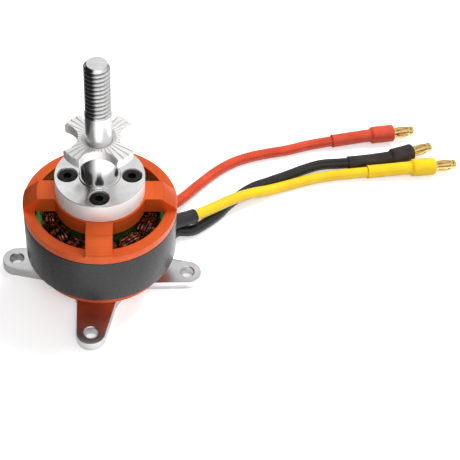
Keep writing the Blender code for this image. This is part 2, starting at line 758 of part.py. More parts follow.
def make_prop_adapter(finish):
    bore_radius = SHAFT_RADIUS + SEAT_GAP
    bore_top = SHAFT_TOP + SEAT_GAP
    profile = [
        (0.0, STUD_TOP),
        (STUD_RADIUS - STUD_CHAMFER, STUD_TOP),
        (STUD_RADIUS, STUD_TOP - STUD_CHAMFER),
        (STUD_RADIUS, SHANK_TOP),
        (SHANK_RADIUS, SHANK_TOP),
        (SHANK_RADIUS, NECK_TOP),
        (NECK_RADIUS, NECK_TOP),
        (NECK_RADIUS, ADAPTER_TOP + COLLAR_HEIGHT),
        (COLLAR_RADIUS, ADAPTER_TOP + COLLAR_HEIGHT),
        (COLLAR_RADIUS, ADAPTER_TOP),
        (ADAPTER_RADIUS - ADAPTER_CHAMFER, ADAPTER_TOP),
        (ADAPTER_RADIUS, ADAPTER_TOP - ADAPTER_CHAMFER),
        (ADAPTER_RADIUS, ADAPTER_BOTTOM),
        (bore_radius, ADAPTER_BOTTOM),
        (bore_radius, bore_top),
        (0.0, bore_top),
    ]
    adapter = turned("prop_adapter", profile, finish)
    bottom, top = ADAPTER_BOTTOM - CUT_PAST, ADAPTER_TOP + CUT_PAST
    for i in range(SPOKE_COUNT):
        place = polar(ADAPTER_SCREW_CIRCLE, ROTOR_ANGLE_DEG + 90.0 * i)
        well = cylinder(
            f"cut_counterbore_{i}", COUNTERBORE_RADIUS, COUNTERBORE_FLOOR, top, place
        )
        hole = cylinder(
            f"cut_adapter_hole_{i}", M3_CLEARANCE_RADIUS, bottom, top, place
        )
        boolean(adapter, well)
        boolean(adapter, hole)
    return apply_modifiers(adapter)


def make_adapter_screws(finish):
    seat = COUNTERBORE_FLOOR + SEAT_GAP
    top = seat + CAP_HEAD_HEIGHT
    profile = [
        (0.0, top),
        (CAP_HEAD_RADIUS - CAP_HEAD_EDGE, top),
        (CAP_HEAD_RADIUS, top - CAP_HEAD_EDGE),
        (CAP_HEAD_RADIUS, seat),
        (M3_RADIUS, seat),
        (M3_RADIUS, seat - CAP_SCREW_LENGTH),
        (0.0, seat - CAP_SCREW_LENGTH),
    ]
    socket = cylinder(
        "cut_cap_hex", HEX_SOCKET_RADIUS, top - HEX_SOCKET_DEPTH, top + CUT_PAST, steps=6
    )
    screw = boolean(turned("adapter_screw_1", profile, finish, SMALL_STEPS), socket)
    place_copies(
        apply_modifiers(screw), "adapter_screw", ADAPTER_SCREW_CIRCLE, ROTOR_ANGLE_DEG
    )


def make_drive_washer(finish):
    washer = ring(
        "drive_washer", DRIVE_WASHER_BORE, DRIVE_WASHER_RADIUS, DRIVE_WASHER_BOTTOM,
        DRIVE_WASHER_TOP, finish,
    )
    bottom, top = DRIVE_WASHER_BOTTOM - CUT_PAST, DRIVE_WASHER_TOP + CUT_PAST
    for i in range(SPOKE_COUNT):
        place = polar(NOTCH_CIRCLE, ROTOR_ANGLE_DEG + 90.0 * i)
        notch = cylinder(
            f"cut_washer_notch_{i}", NOTCH_RADIUS, bottom, top, place, steps=SHAFT_STEPS
        )
        boolean(washer, notch)
    return apply_modifiers(washer)


# --- Leads ------------------------------------------------------------------------------


def spans_through(points):
    """Points of a Catmull-Rom curve above the table, a list for each inner span."""
    spans = []
    for before, here, there, after in zip(points, points[1:], points[2:], points[3:]):
        span = []
        for i in range(POINTS_PER_SPAN):
            t = i / POINTS_PER_SPAN
            slope = there - before
            pull = 2 * before - 5 * here + 4 * there - after
            twist = 3 * (here - there) + after - before
            point = here + (t * slope + t * t * pull + t**3 * twist) / 2
            point.z = max(point.z, LEAD_REST_HEIGHT)
            span.append(point)
        spans.append(span)
    return spans


def lead_points(lead):
    """The lead's control points, with the two straight ones of its plug last."""
    points = [Vector((*lead["start"], LEAD_START_HEIGHT / MM)) * MM]
    for place in lead["route"]:
        height = place[2] * MM if len(place) == 3 else LEAD_REST_HEIGHT
        points.append(Vector((place[0] * MM, place[1] * MM, height)))
    shrink = Vector((*lead["shrink_start"], 0.0)) * MM
    plug = Vector((*lead["plug_start"], 0.0)) * MM
    points.append(shrink + Vector((0.0, 0.0, SHRINK_REST_HEIGHT)))
    points.append(plug + Vector((0.0, 0.0, PLUG_REST_HEIGHT)))
    return points


def make_lead(colour, lead, finishes):
    points = lead_points(lead)
    ahead = Vector((*polar(1.0, lead["heading_deg"]), 0.0))
    before, after = 2 * points[0] - points[1], points[-1] + PLUG_BODY_LENGTH * ahead
    spans = spans_through([before, *points, after])
    path = [point for span in spans for point in span] + [points[-1]]
    tube(f"lead_{colour}", path, [LEAD_RADIUS] * len(path), finishes[colour])
    make_plug_sleeve(colour, spans[-1], points[-1], ahead, finishes[colour + "_shrink"])
    make_plug(colour, points[-1], lead["heading_deg"], finishes["gold"])
    return spans


def hollow(name, path, outer, inner, finish):
    """A sleeve along a path. Its bore runs a little past both ends."""
    sleeve = tube(name, path, outer, finish)
    start = path[0] - (path[1] - path[0]).normalized() * CUT_PAST
    end = path[-1] + (path[-1] - path[-2]).normalized() * CUT_PAST
    bore = tube(f"cut_{name}", [start, *path, end], [inner[0], *inner, inner[-1]])
    return apply_modifiers(boolean(sleeve, bore))


def make_plug_sleeve(colour, span, plug, ahead, finish):
    wide = plug + SHRINK_STEP * ahead
    narrow = wide - SHRINK_SHOULDER * ahead
    end = plug + SHRINK_PLUG_LENGTH * ahead
    path = [*span, narrow, wide, end]
    outer = [SHRINK_RADIUS] * (len(span) + 1) + [SHRINK_PLUG_RADIUS] * 2
    inner = [SLEEVE_BORE] * (len(span) + 1) + [SHRINK_PLUG_BORE] * 2
    return hollow(f"plug_sleeve_{colour}", path, outer, inner, finish)


def lay_along(obj, place, heading_deg):
    """Lays a piece that was turned about Z along a heading, from a place on its axis."""
    obj.location = place
    obj.rotation_euler = (0.0, math.pi / 2, math.radians(heading_deg))


def make_plug(colour, place, heading_deg, finish):
    body_end = PLUG_BODY_START + PLUG_BODY_LENGTH
    tip_start = PIN_TIP - PIN_END_LENGTH
    neck = body_end + PIN_EDGE
    profile = [
        (0.0, PIN_TIP),
        (PIN_END_RADIUS - PIN_EDGE, PIN_TIP),
        (PIN_END_RADIUS, PIN_TIP - PIN_EDGE),
        (PIN_END_RADIUS, tip_start),
        (PIN_CORE_RADIUS, tip_start),
        (PIN_CORE_RADIUS, neck),
        (PIN_END_RADIUS, neck),
        (PIN_END_RADIUS, body_end),
        (PLUG_BODY_RADIUS, body_end),
        (PLUG_BODY_RADIUS, PLUG_BODY_START),
        (0.0, PLUG_BODY_START),
    ]
    plug = apply_modifiers(turned(f"plug_{colour}", profile, finish, SMALL_STEPS))
    lay_along(plug, place, heading_deg)
    make_contact_spring(colour, place, heading_deg, neck, tip_start, finish)


def make_contact_spring(colour, place, heading_deg, start, end, finish):
    """The cage round the pin that springs against a socket, bulging in its middle."""
    low, high = start + SEAT_GAP, end - SEAT_GAP
    quarter = (high - low) / 4
    bulge_inner = CONTACT_BULGE_RADIUS - CONTACT_THICKNESS
    profile = [
        (CONTACT_INNER, high),
        (CONTACT_END_RADIUS, high),
        (CONTACT_BULGE_RADIUS, high - quarter),
        (CONTACT_BULGE_RADIUS, low + quarter),
        (CONTACT_END_RADIUS, low),
        (CONTACT_INNER, low),
        (bulge_inner, low + quarter),
        (bulge_inner, high - quarter),
    ]
    spring = turned(f"contact_spring_{colour}", profile, finish, SMALL_STEPS)
    lay_along(apply_modifiers(spring), place, heading_deg)


def make_exit_sleeve(spans, finish):
    """The sleeve over the yellow lead where it leaves the motor."""
    first, last = EXIT_SLEEVE_SPANS
    path = [point for span in spans[first:last] for point in span] + [spans[last][0]]
    outer = [EXIT_SLEEVE_RADIUS] * len(path)
    inner = [SLEEVE_BORE] * len(path)
    return hollow("exit_sleeve_yellow", path, outer, inner, finish)


# --- The motor --------------------------------------------------------------------------


def make_finishes():
    finishes = {
        "orange": material("orange_anodised", (0.86, 0.15, 0.03), 0.35, 0.7),
        "polished": material("polished_aluminium", (0.86, 0.86, 0.87), 0.12, 1.0),
        "satin": material("satin_aluminium", (0.78, 0.78, 0.80), 0.3, 1.0),
        "gunmetal": material("gunmetal_steel", (0.10, 0.105, 0.11), 0.35, 0.9),
        "black_oxide": material("black_oxide_steel", (0.02, 0.02, 0.022), 0.4, 0.8),
        "steel": material("bearing_steel", (0.60, 0.60, 0.62), 0.2, 1.0),
        "magnet": material("nickel_magnet", (0.55, 0.54, 0.52), 0.25, 1.0),
        "core": material("green_coated_core", (0.04, 0.28, 0.09), 0.45),
        "copper": material("enamelled_copper", (0.35, 0.11, 0.035), 0.3, 0.8),
        "gold": material("gold_plate", (0.83, 0.58, 0.22), 0.2, 1.0),
        "sleeve": material("exit_sleeve_black", (0.025, 0.025, 0.027), 0.5),
    }
    for colour, lead in LEADS.items():
        finishes[colour] = material(f"lead_{colour}", lead["colour"], 0.35)
        finishes[colour + "_shrink"] = material(f"shrink_{colour}", lead["colour"], 0.55)
    return finishes


def make_motor():
    finishes = make_finishes()
    make_x_mount(finishes["polished"])
    make_mount_screws(finishes["black_oxide"])
    make_base(finishes["orange"])
    make_stator_core(finishes["core"])
    for circle, (phase, teeth) in zip(JUMPER_CIRCLES, PHASE_TEETH.items()):
        make_winding(phase, teeth, circle, finishes["copper"])
    make_bearing("rear", REAR_BEARING_BOTTOM, finishes["steel"])
    make_bearing("front", FRONT_BEARING_BOTTOM, finishes["steel"])
    make_shaft(finishes["steel"])
    make_retaining_clip(finishes["black_oxide"])
    make_thrust_washer(finishes["steel"])
    make_flux_ring(finishes["gunmetal"])
    make_magnets(finishes["magnet"])
    make_front_bell(finishes["orange"])
    make_prop_adapter(finishes["polished"])
    make_adapter_screws(finishes["black_oxide"])
    make_drive_washer(finishes["satin"])
    for colour, lead in LEADS.items():
        spans = make_lead(colour, lead, finishes)
        if colour == "yellow":
            make_exit_sleeve(spans, finishes["sleeve"])


clear_scene()
PARTS = new_collection("Brushless outrunner motor")
CUTTERS = new_collection("Cutters")
make_motor()
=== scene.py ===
"""The looks of a brushless outrunner motor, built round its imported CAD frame.

Every visible piece is a fine mesh that stands for one CAD node and rides on that node's body.
Metres, +Z up, in the frame of the CAD: the motor's axis is Z and the table is at height 0.
"""

import json
import math

import bmesh
import bpy
import numpy as np
from mathutils import Matrix, Vector


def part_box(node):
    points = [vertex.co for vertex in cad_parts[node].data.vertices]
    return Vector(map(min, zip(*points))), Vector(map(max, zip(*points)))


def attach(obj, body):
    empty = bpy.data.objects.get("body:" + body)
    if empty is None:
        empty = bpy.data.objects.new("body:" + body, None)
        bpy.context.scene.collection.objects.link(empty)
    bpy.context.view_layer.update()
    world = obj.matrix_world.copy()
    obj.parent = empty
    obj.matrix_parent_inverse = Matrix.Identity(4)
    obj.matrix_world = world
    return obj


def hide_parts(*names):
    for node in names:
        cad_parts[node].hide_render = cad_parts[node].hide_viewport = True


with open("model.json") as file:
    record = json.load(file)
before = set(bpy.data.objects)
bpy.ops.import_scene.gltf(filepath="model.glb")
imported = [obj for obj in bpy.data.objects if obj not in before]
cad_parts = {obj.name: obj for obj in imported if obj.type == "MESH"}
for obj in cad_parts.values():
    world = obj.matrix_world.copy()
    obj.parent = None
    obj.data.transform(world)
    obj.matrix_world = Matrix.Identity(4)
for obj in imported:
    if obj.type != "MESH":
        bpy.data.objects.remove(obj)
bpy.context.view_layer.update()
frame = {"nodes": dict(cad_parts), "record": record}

MM = 0.001
TURN = 2 * math.pi
RECORD = frame["record"]
BODY_OF = {
    node: body for body, nodes in RECORD["behaviour"]["bodies"].items() for node in nodes
}

ROTOR_DEG = 6.0
SPOKES_DEG = [ROTOR_DEG + 90.0 * i for i in range(4)]
FINE = 192
ROUND = 96
SMALL = 48
CORNER_STEPS = 3
SHARP = math.radians(28)


# --- Frame helpers ---


BOXES = {node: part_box(node) for node in frame["nodes"]}


def low(node):
    return BOXES[node][0].z


def high(node):
    return BOXES[node][1].z


def heights(node):
    return low(node), high(node)


def radius_of(node):
    """Half the width of a node's box, for round nodes."""
    bottom, top = BOXES[node]
    return (top.x - bottom.x) / 2


def dress(obj, node, finish):
    """Names a piece after a CAD node, gives it its finish, shows it in place of that node and
    rides it on the node's body."""
    obj.name = f"{node}_look"
    obj.data.materials.clear()
    obj.data.materials.append(finish)
    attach(obj, BODY_OF[node])
    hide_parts(node)


# --- Mesh helpers ---


def smooth(mesh, angle=SHARP):
    mesh.shade_smooth()
    mesh.set_sharp_from_angle(angle=angle)


def add_mesh(bm, angle=SHARP):
    """An object from a bmesh, with its faces turned outwards."""
    bmesh.ops.recalc_face_normals(bm, faces=bm.faces)
    mesh = bpy.data.meshes.new("piece")
    bm.to_mesh(mesh)
    bm.free()
    smooth(mesh, angle)
    obj = bpy.data.objects.new("piece", mesh)
    bpy.context.scene.collection.objects.link(obj)
    return obj


def polar(radius, degrees):
    angle = math.radians(degrees)
    return radius * math.cos(angle), radius * math.sin(angle)


def spun(points, degrees):
    """A flat outline turned about the motor's axis."""
    spin = Matrix.Rotation(math.radians(degrees), 2)
    return [tuple(spin @ Vector(point)) for point in points]


def rounded(rows, radius):
    """A closed outline with each corner rounded, as far as its two sides have room."""
    out = []
    for i, here in enumerate(rows):
        here = Vector(here)
        before, after = Vector(rows[i - 1]), Vector(rows[(i + 1) % len(rows)])
        back, ahead = before - here, after - here
        reach = min(radius, 0.45 * back.length, 0.45 * ahead.length)
        straight = back.length < 1e-9 or ahead.length < 1e-9 or back.angle(ahead) > 2.9
        if straight or here.y < 1e-9:
            out.append(tuple(here))
            continue
        start = here + back.normalized() * reach
        end = here + ahead.normalized() * reach
        for k in range(CORNER_STEPS + 1):
            t = k / CORNER_STEPS
            out.append(tuple((1 - t) ** 2 * start + 2 * t * (1 - t) * here + t * t * end))
    return out


class Path:
    """A smooth line in space with a frame that doesn't twist along it."""

    def __init__(self, points):
        self.points = np.array([tuple(p) for p in points], float)
        steps = np.linalg.norm(np.diff(self.points, axis=0), axis=1)
        self.length_at = np.concatenate([[0.0], np.cumsum(steps)])
        self.length = self.length_at[-1]
        tangents = np.gradient(self.points, self.length_at, axis=0)
        self.tangents = tangents / np.linalg.norm(tangents, axis=1)[:, None]
        side = np.cross((0.0, 0.0, 1.0), self.tangents[0])
        if np.linalg.norm(side) < 0.1:
            side = np.array([1.0, 0.0, 0.0])
        sides = []
        for tangent in self.tangents:
            side = side - tangent * (side @ tangent)
            side = side / np.linalg.norm(side)
            sides.append(side)
        self.sides = np.array(sides)

    def at(self, s):
        """Place, side and up direction at a length along the path, also past its ends."""
        inside = min(max(s, 0.0), self.length)
        mix = [
            [np.interp(inside, self.length_at, values[:, k]) for k in range(3)]
            for values in (self.points, self.tangents, self.sides)
        ]
        place, tangent, side = (np.array(values) for values in mix)
        tangent = tangent / np.linalg.norm(tangent)
        place = place + tangent * (s - inside)
        side = side - tangent * (side @ tangent)
        side = side / np.linalg.norm(side)
        return place, side, np.cross(tangent, side)


AXIS = Path([(0.0, 0.0, 0.0), (0.0, 0.0, 0.1)])


def swept(rows, path=AXIS, sides=ROUND, closed=False, shape=None, angle=SHARP):
    """Rings of points along a path. A row is (length along it, radius), and shape(s, r, turn)
    may move a point to another (s, r). A row on the axis becomes one point. A closed outline
    joins its last row to its first."""
    bm = bmesh.new()
    rings = []
    for s, r in rows:
        place, side, up = path.at(s)
        if r < 1e-9:
            rings.append([bm.verts.new(place)])
            continue
        ring = []
        for j in range(sides):
            turn = TURN * j / sides
            if shape:
                s_here, r_here = shape(s, r, turn)
                place, side, up = path.at(s_here) if s_here != s else path.at(s)
            else:
                r_here = r
            ring.append(bm.verts.new(place + r_here * (math.cos(turn) * side + math.sin(turn) * up)))
        rings.append(ring)
    pairs = list(zip(rings, rings[1:])) + ([(rings[-1], rings[0])] if closed else [])
    for one, two in pairs:
        for j in range(sides):
            k = (j + 1) % sides
            corners = [one[j % len(one)], one[k % len(one)], two[k % len(two)], two[j % len(two)]]
            unique = list(dict.fromkeys(corners))
            if len(unique) > 2:
                bm.faces.new(unique)
    return add_mesh(bm, angle)


def turned(outline, rounding, sides=ROUND):
    """A solid of revolution about the motor's axis from a closed (height, radius) outline."""
    on_axis = outline[0][1] < 1e-9
    return swept(rounded(outline, rounding), AXIS, sides, not on_axis)


def ring_outline(inner, outer, bottom, top):
    return [(bottom, inner), (bottom, outer), (top, outer), (top, inner)]


def prism(outline, bottom, top):
    """An upright block with this outline, seen from above."""
    bm = bmesh.new()
    face = bm.faces.new([bm.verts.new((x, y, bottom)) for x, y in outline])
    grown = bmesh.ops.extrude_face_region(bm, geom=[face])
    moved = [v for v in grown["geom"] if isinstance(v, bmesh.types.BMVert)]
    bmesh.ops.translate(bm, verts=moved, vec=(0.0, 0.0, top - bottom))
    return add_mesh(bm)


def bake_modifiers(obj):
    bpy.context.view_layer.update()
    graph = bpy.context.evaluated_depsgraph_get()
    mesh = bpy.data.meshes.new_from_object(obj.evaluated_get(graph))
    obj.modifiers.clear()
    obj.data = mesh
    smooth(mesh)
    return obj


def cut(obj, *cutters):
    """Cuts pieces out of an object and removes the cutters."""
    for cutter in cutters:
        modifier = obj.modifiers.new("cut", "BOOLEAN")
        modifier.operation = "DIFFERENCE"
        modifier.solver = "EXACT"
        modifier.object = cutter
        bake_modifiers(obj)
        bpy.data.objects.remove(cutter, do_unlink=True)


def soften(obj, width, limit_deg=35.0, segments=2):
    """Rounds an object's sharp edges."""
    modifier = obj.modifiers.new("edges", "BEVEL")
    modifier.width = width
    modifier.segments = segments
    modifier.limit_method = "ANGLE"
    modifier.angle_limit = math.radians(limit_deg)
    modifier.use_clamp_overlap = False
    modifier.miter_outer = "MITER_ARC"
    return bake_modifiers(obj)


def placed(obj, place, turn_deg=0.0):
    obj.data.transform(Matrix.Rotation(math.radians(turn_deg), 4, "Z"))
    obj.data.transform(Matrix.Translation((*place, 0.0)))
    return obj


def drill(radius, bottom, top, place, flare=0.0, mouth=None):
    """A cutter for a round hole. Its mouth may be opened by a small chamfer at a height."""
    rows = [(bottom, 0.0), (bottom, radius)]
    if mouth is not None:
        rows += [(mouth - flare, radius), (mouth + MM, radius + flare + MM)]
        rows += [(mouth + MM, 0.0)]
    else:
        rows += [(top, radius), (top, 0.0)]
    return placed(swept(rows, AXIS, SMALL), place)


def joined(pieces):
    """One mesh object from several, which are removed."""
    bm = bmesh.new()
    for piece in pieces:
        bm.from_mesh(piece.data)
        bpy.data.objects.remove(piece, do_unlink=True)
    return add_mesh(bm)


def through(points, per_span):
    """Points of a smooth curve through control points, from the second to the last but one."""
    out = []
    for p, a, b, q in zip(points, points[1:], points[2:], points[3:]):
        for i in range(per_span):
            t = i / per_span
            out.append(
                0.5 * (2 * a + t * (b - p) + t * t * (2 * p - 5 * a + 4 * b - q)
                       + t**3 * (3 * a - 3 * b + q - p))
            )
    out.append(points[-2])
    return out


# --- Finishes ---


# How far the marks of a lathe move for each radian round the axis.
MARK_DRIFT = 0.02 * MM
QUARTER_TURN = 0.25


class Nodes:
    """A node tree. Most methods add nodes and return the output that they end in."""

    def __init__(self, owner, coordinates):
        owner.use_nodes = True
        self.tree = owner.node_tree
        self.place = self.node("TexCoord").outputs[coordinates]

    def node(self, kind, inputs=None, **settings):
        made = self.tree.nodes.new("ShaderNode" + kind)
        for key, value in settings.items():
            setattr(made, key, value)
        for key, value in (inputs or {}).items():
            self.feed(made.inputs[key], value)
        return made

    def feed(self, socket, value):
        if isinstance(value, bpy.types.NodeSocket):
            self.tree.links.new(value, socket)
        elif isinstance(value, tuple) and len(value) == 3 and socket.type == "RGBA":
            socket.default_value = (*value, 1.0)
        else:
            socket.default_value = value

    def calc(self, operation, one, two=0.0):
        made = self.node("Math", operation=operation)
        self.feed(made.inputs[0], one)
        self.feed(made.inputs[1], two)
        return made.outputs[0]

    def noise(self, scale, detail, place=None, rough=0.5):
        inputs = {"Vector": place or self.place, "Scale": scale, "Detail": detail}
        inputs["Roughness"] = rough
        return self.node("TexNoise", inputs).outputs["Fac"]

    def ramp(self, value, *stops):
        made = self.node("ValToRGB", {"Fac": value})
        marks = made.color_ramp.elements
        while len(marks) < len(stops):
            marks.new(0.5)
        for mark, (position, colour) in zip(marks, stops):
            mark.position = position
            mark.color = (*colour, 1.0) if isinstance(colour, tuple) else (colour,) * 3 + (1.0,)
        return made.outputs["Color"]

    def patchy(self, scale, detail, *stops):
        return self.ramp(self.noise(scale, detail), *stops)

    def mix(self, share, one, two, blend="MIX"):
        made = self.node("Mix", data_type="RGBA", blend_type=blend)
        self.feed(made.inputs[0], share)
        self.feed(made.inputs[6], one)
        self.feed(made.inputs[7], two)
        return made.outputs[2]

    def parts(self, place):
        return self.node("SeparateXYZ", {0: place}).outputs

    def ranged(self, value, low_end, high_end, low_out=0.0, high_out=1.0, **settings):
        """The value's place between two ends, as a number between two others."""
        inputs = {0: value, 1: low_end, 2: high_end, 3: low_out, 4: high_out}
        return self.node("MapRange", inputs, **settings).outputs["Result"]


class Finish(Nodes):
    """One material."""

    def __init__(self, name, **values):
        self.material = bpy.data.materials.new(name)
        super().__init__(self.material, "Object")
        self.bsdf = self.tree.nodes["Principled BSDF"]
        self.set(**values)

    def set(self, **values):
        for key, value in values.items():
            self.feed(self.bsdf.inputs[key.replace("_", " ")], value)
        return self

    def axis_distance(self):
        here = self.parts(self.place)
        flat = self.node("CombineXYZ", {"X": here["X"], "Y": here["Y"]}).outputs[0]
        return self.node("VectorMath", {0: flat}, operation="LENGTH").outputs["Value"]

    def turned_place(self):
        """Coordinates for marks left by a lathe: distance from the axis, height and angle."""
        here = self.parts(self.place)
        angle = self.calc("ARCTAN2", here["Y"], here["X"])
        drift = self.calc("MULTIPLY", angle, MARK_DRIFT)
        inputs = {"X": self.axis_distance(), "Y": here["Z"], "Z": drift}
        return self.node("CombineXYZ", inputs).outputs[0]

    def bump(self, height, strength, distance, under=None):
        inputs = {"Height": height, "Strength": strength, "Distance": distance}
        if under:
            inputs["Normal"] = under
        self.set(Normal=self.node("Bump", inputs).outputs[0])
        return self

    def spread_across_marks(self, amount):
        """Draws highlights out across the marks of a lathe."""
        around = self.node("Tangent", direction_type="RADIAL", axis="Z").outputs[0]
        return self.set(Anisotropic=amount, Anisotropic_Rotation=QUARTER_TURN, Tangent=around)

    def edges(self, radius):
        """A normal that rounds the edges this much."""
        return self.node("Bevel", {"Radius": radius}, samples=6).outputs[0]


def anodised(name, light, deep, roughness):
    """Turned aluminium under a dyed satin coat."""
    made = Finish(name, Metallic=0.5, Specular_IOR_Level=0.5)
    lines = made.noise(2600.0, 2.0, made.turned_place())
    colour = made.patchy(90.0, 2.0, (0.3, deep), (0.7, light))
    shade = made.ramp(lines, (0.3, 0.86), (0.7, 1.0))
    made.set(Base_Color=made.mix(1.0, colour, shade, "MULTIPLY"))
    smear = made.patchy(320.0, 5.0, (0.3, roughness - 0.05), (0.75, roughness + 0.08))
    made.set(Roughness=smear)
    grain = made.calc("ADD", lines, made.calc("MULTIPLY", made.noise(9000.0, 1.0), 0.35))
    return made.bump(grain, 0.16, 0.02 * MM, made.edges(0.14 * MM)).material


def bare_metal(name, colour, roughness, marks=0.1, turned_marks=True, wear=0.12, metallic=1.0):
    """Polished or satin metal with fine marks and faint smears."""
    made = Finish(name, Metallic=metallic)
    if turned_marks:
        made.spread_across_marks(0.6)
    place = made.turned_place() if turned_marks else None
    lines = made.noise(3200.0, 3.0, place)
    smear = made.noise(240.0, 6.0, rough=0.65)
    dull = tuple(c * (1.0 - wear) for c in colour)
    made.set(Base_Color=made.mix(made.ramp(smear, (0.35, 0.0), (0.7, 1.0)), colour, dull))
    made.set(Roughness=made.ramp(smear, (0.3, roughness), (0.8, roughness + wear)))
    return made.bump(lines, marks, 0.02 * MM, made.edges(0.1 * MM)).material


def adapter_metal(wall_top):
    """Polished above the given height, with painted shade down in the roots of the thread, and a
    paler satin on the wall below it."""
    made = Finish("polished_aluminium").spread_across_marks(0.6)
    height = made.parts(made.place)["Z"]
    wall = made.calc("LESS_THAN", height, wall_top)
    lines = made.noise(3200.0, 3.0, made.turned_place())
    smear = made.noise(240.0, 6.0, rough=0.65)
    clean, dull, pale = (0.93, 0.93, 0.93), (0.82, 0.82, 0.83), (0.95, 0.93, 0.92)
    polished = made.mix(made.ramp(smear, (0.35, 0.0), (0.7, 1.0)), clean, dull)
    made.set(Metallic=made.ramp(wall, (0.4, 1.0), (0.6, 0.45)))
    # Painted shade: the thread's roots are coloured dark grey, fading out towards the crests.
    deepest, shallowest = THREAD_SHADE_RADII
    unshaded_share = made.ranged(made.axis_distance(), deepest, shallowest)
    above = made.calc("GREATER_THAN", height, THREAD_BOTTOM)
    below = made.calc("LESS_THAN", height, high("prop_adapter") - THREAD_CHAMFER)
    sunk = made.calc("SUBTRACT", 1.0, unshaded_share)
    root_shade_share = made.calc("MULTIPLY", made.calc("MULTIPLY", above, below), sunk)
    metal, root_shade = made.mix(wall, polished, pale), (0.3, 0.295, 0.29)
    made.set(Base_Color=made.mix(root_shade_share, metal, root_shade))
    worn = made.ramp(smear, (0.3, 0.15), (0.8, 0.25))
    made.set(Roughness=made.mix(wall, worn, (0.42, 0.42, 0.42)))
    return made.bump(lines, 0.07, 0.02 * MM, made.edges(0.1 * MM)).material


def dark_steel(name, colour, roughness):
    """Steel under a thin dark coat that shows the turning marks."""
    made = Finish(name, Metallic=0.85).spread_across_marks(0.5)
    lines = made.noise(6000.0, 3.0, made.turned_place())
    light = tuple(min(1.0, 1.3 * c + 0.004) for c in colour)
    made.set(Base_Color=made.mix(made.ramp(lines, (0.35, 0.0), (0.75, 1.0)), colour, light))
    smear = made.patchy(420.0, 5.0, (0.3, roughness - 0.02), (0.75, roughness + 0.04))
    made.set(Roughness=smear)
    return made.bump(lines, 0.05, 0.01 * MM).material


# Radii between which the core goes from painted shade to its full green.
SHADED_IN = 17.0 * MM
LIT_OUT = 21.5 * MM


def powder_coat(name, light, deep):
    """Green coating, painted darker towards the axis as shade inside the bell."""
    made = Finish(name, Roughness=0.42, Coat_Weight=0.25, Coat_Roughness=0.2)
    pebble = made.noise(2600.0, 2.0)
    cloud = made.patchy(500.0, 4.0, (0.3, deep), (0.7, light))
    lit_share = made.ranged(made.axis_distance(), SHADED_IN, LIT_OUT)
    # Painted shade: near the axis the green is darkened to a tenth of its deep tone.
    core_shade = tuple(0.1 * c for c in deep)
    made.set(Base_Color=made.mix(lit_share, core_shade, cloud))
    return made.bump(pebble, 0.35, 0.06 * MM, made.edges(0.2 * MM)).material


def enamelled(name):
    """Glossy coated copper wire, painted near black as shade, with painted glints in patches."""
    made = Finish(name, Metallic=0.75, Coat_Weight=0.8, Coat_Roughness=0.12)
    glint_patches = made.noise(700.0, 4.0)
    # dark is painted shade and bright is a painted glint; warm is the copper's own tone.
    dark, warm, bright = (0.018, 0.004, 0.002), (0.2, 0.04, 0.012), (0.95, 0.3, 0.1)
    made.set(Base_Color=made.ramp(glint_patches, (0.42, dark), (0.54, warm), (0.66, bright)))
    made.set(Roughness=made.ramp(glint_patches, (0.3, 0.34), (0.75, 0.2)))
    return made.bump(made.noise(3000.0, 2.0), 0.1, 0.03 * MM).material


def silicone(name, light, deep):
    """Soft wire cover with a faint bloom of dust."""
    made = Finish(name, Subsurface_Weight=0.05, Subsurface_Radius=(1, 0.4, 0.2))
    made.set(Subsurface_Scale=0.5 * MM, Coat_Weight=0.25, Coat_Roughness=0.25)
    made.set(Base_Color=made.patchy(160.0, 3.0, (0.3, deep), (0.7, light)))
    made.set(Roughness=made.patchy(600.0, 5.0, (0.3, 0.28), (0.8, 0.46)))
    return made.bump(made.noise(1500.0, 3.0), 0.1, 0.05 * MM).material


def shrink_film(name, light, deep):
    """Heat-shrink tube: matt, with small waves where it has drawn tight."""
    made = Finish(name, Specular_IOR_Level=0.45)
    made.set(Base_Color=made.patchy(260.0, 4.0, (0.3, deep), (0.7, light)))
    made.set(Roughness=made.patchy(900.0, 4.0, (0.3, 0.42), (0.75, 0.6)))
    waves = made.calc("ADD", made.noise(420.0, 2.0), made.noise(2400.0, 2.0))
    return made.bump(waves, 0.22, 0.1 * MM).material


def gold_plate(name):
    made = Finish(name, Metallic=1.0)
    deep, light = (0.9, 0.62, 0.22), (0.96, 0.74, 0.34)
    made.set(Base_Color=made.patchy(500.0, 4.0, (0.3, deep), (0.7, light)))
    made.set(Roughness=made.patchy(1400.0, 3.0, (0.3, 0.16), (0.75, 0.26)))
    return made.bump(made.noise(4000.0, 2.0), 0.04, 0.01 * MM).material


ORANGE = anodised("orange_anodised", (0.8, 0.125, 0.019), (0.7, 0.095, 0.014), 0.36)
BASE_ORANGE = anodised("orange_blasted", (0.72, 0.11, 0.022), (0.58, 0.07, 0.014), 0.42)
PLATE = bare_metal("brushed_plate", (0.86, 0.86, 0.87), 0.27, 0.03, False)
SATIN = bare_metal("satin_aluminium", (0.95, 0.94, 0.93), 0.3, 0.05, False, 0.06, 0.7)
GUNMETAL = dark_steel("gunmetal", (0.05, 0.05, 0.052), 0.26)
BLACK_OXIDE = dark_steel("black_oxide", (0.024, 0.023, 0.022), 0.3)
STEEL = bare_metal("bearing_steel", (0.62, 0.62, 0.64), 0.16)
NICKEL = bare_metal("nickel_magnet", (0.55, 0.54, 0.52), 0.25, 0.08, False)
GREEN = powder_coat("green_core", (0.2, 0.7, 0.17), (0.11, 0.52, 0.1))
COPPER = enamelled("copper")
GOLD = gold_plate("gold")
SLEEVE_BLACK = shrink_film("shrink_black_sleeve", (0.03, 0.03, 0.032), (0.016, 0.016, 0.018))
WIRE_COVERS = {
    "red": silicone("lead_red", (0.6, 0.055, 0.012), (0.5, 0.038, 0.008)),
    "black": silicone("lead_black", (0.01, 0.01, 0.011), (0.005, 0.005, 0.006)),
    "yellow": silicone("lead_yellow", (0.84, 0.56, 0.003), (0.76, 0.48, 0.002)),
}
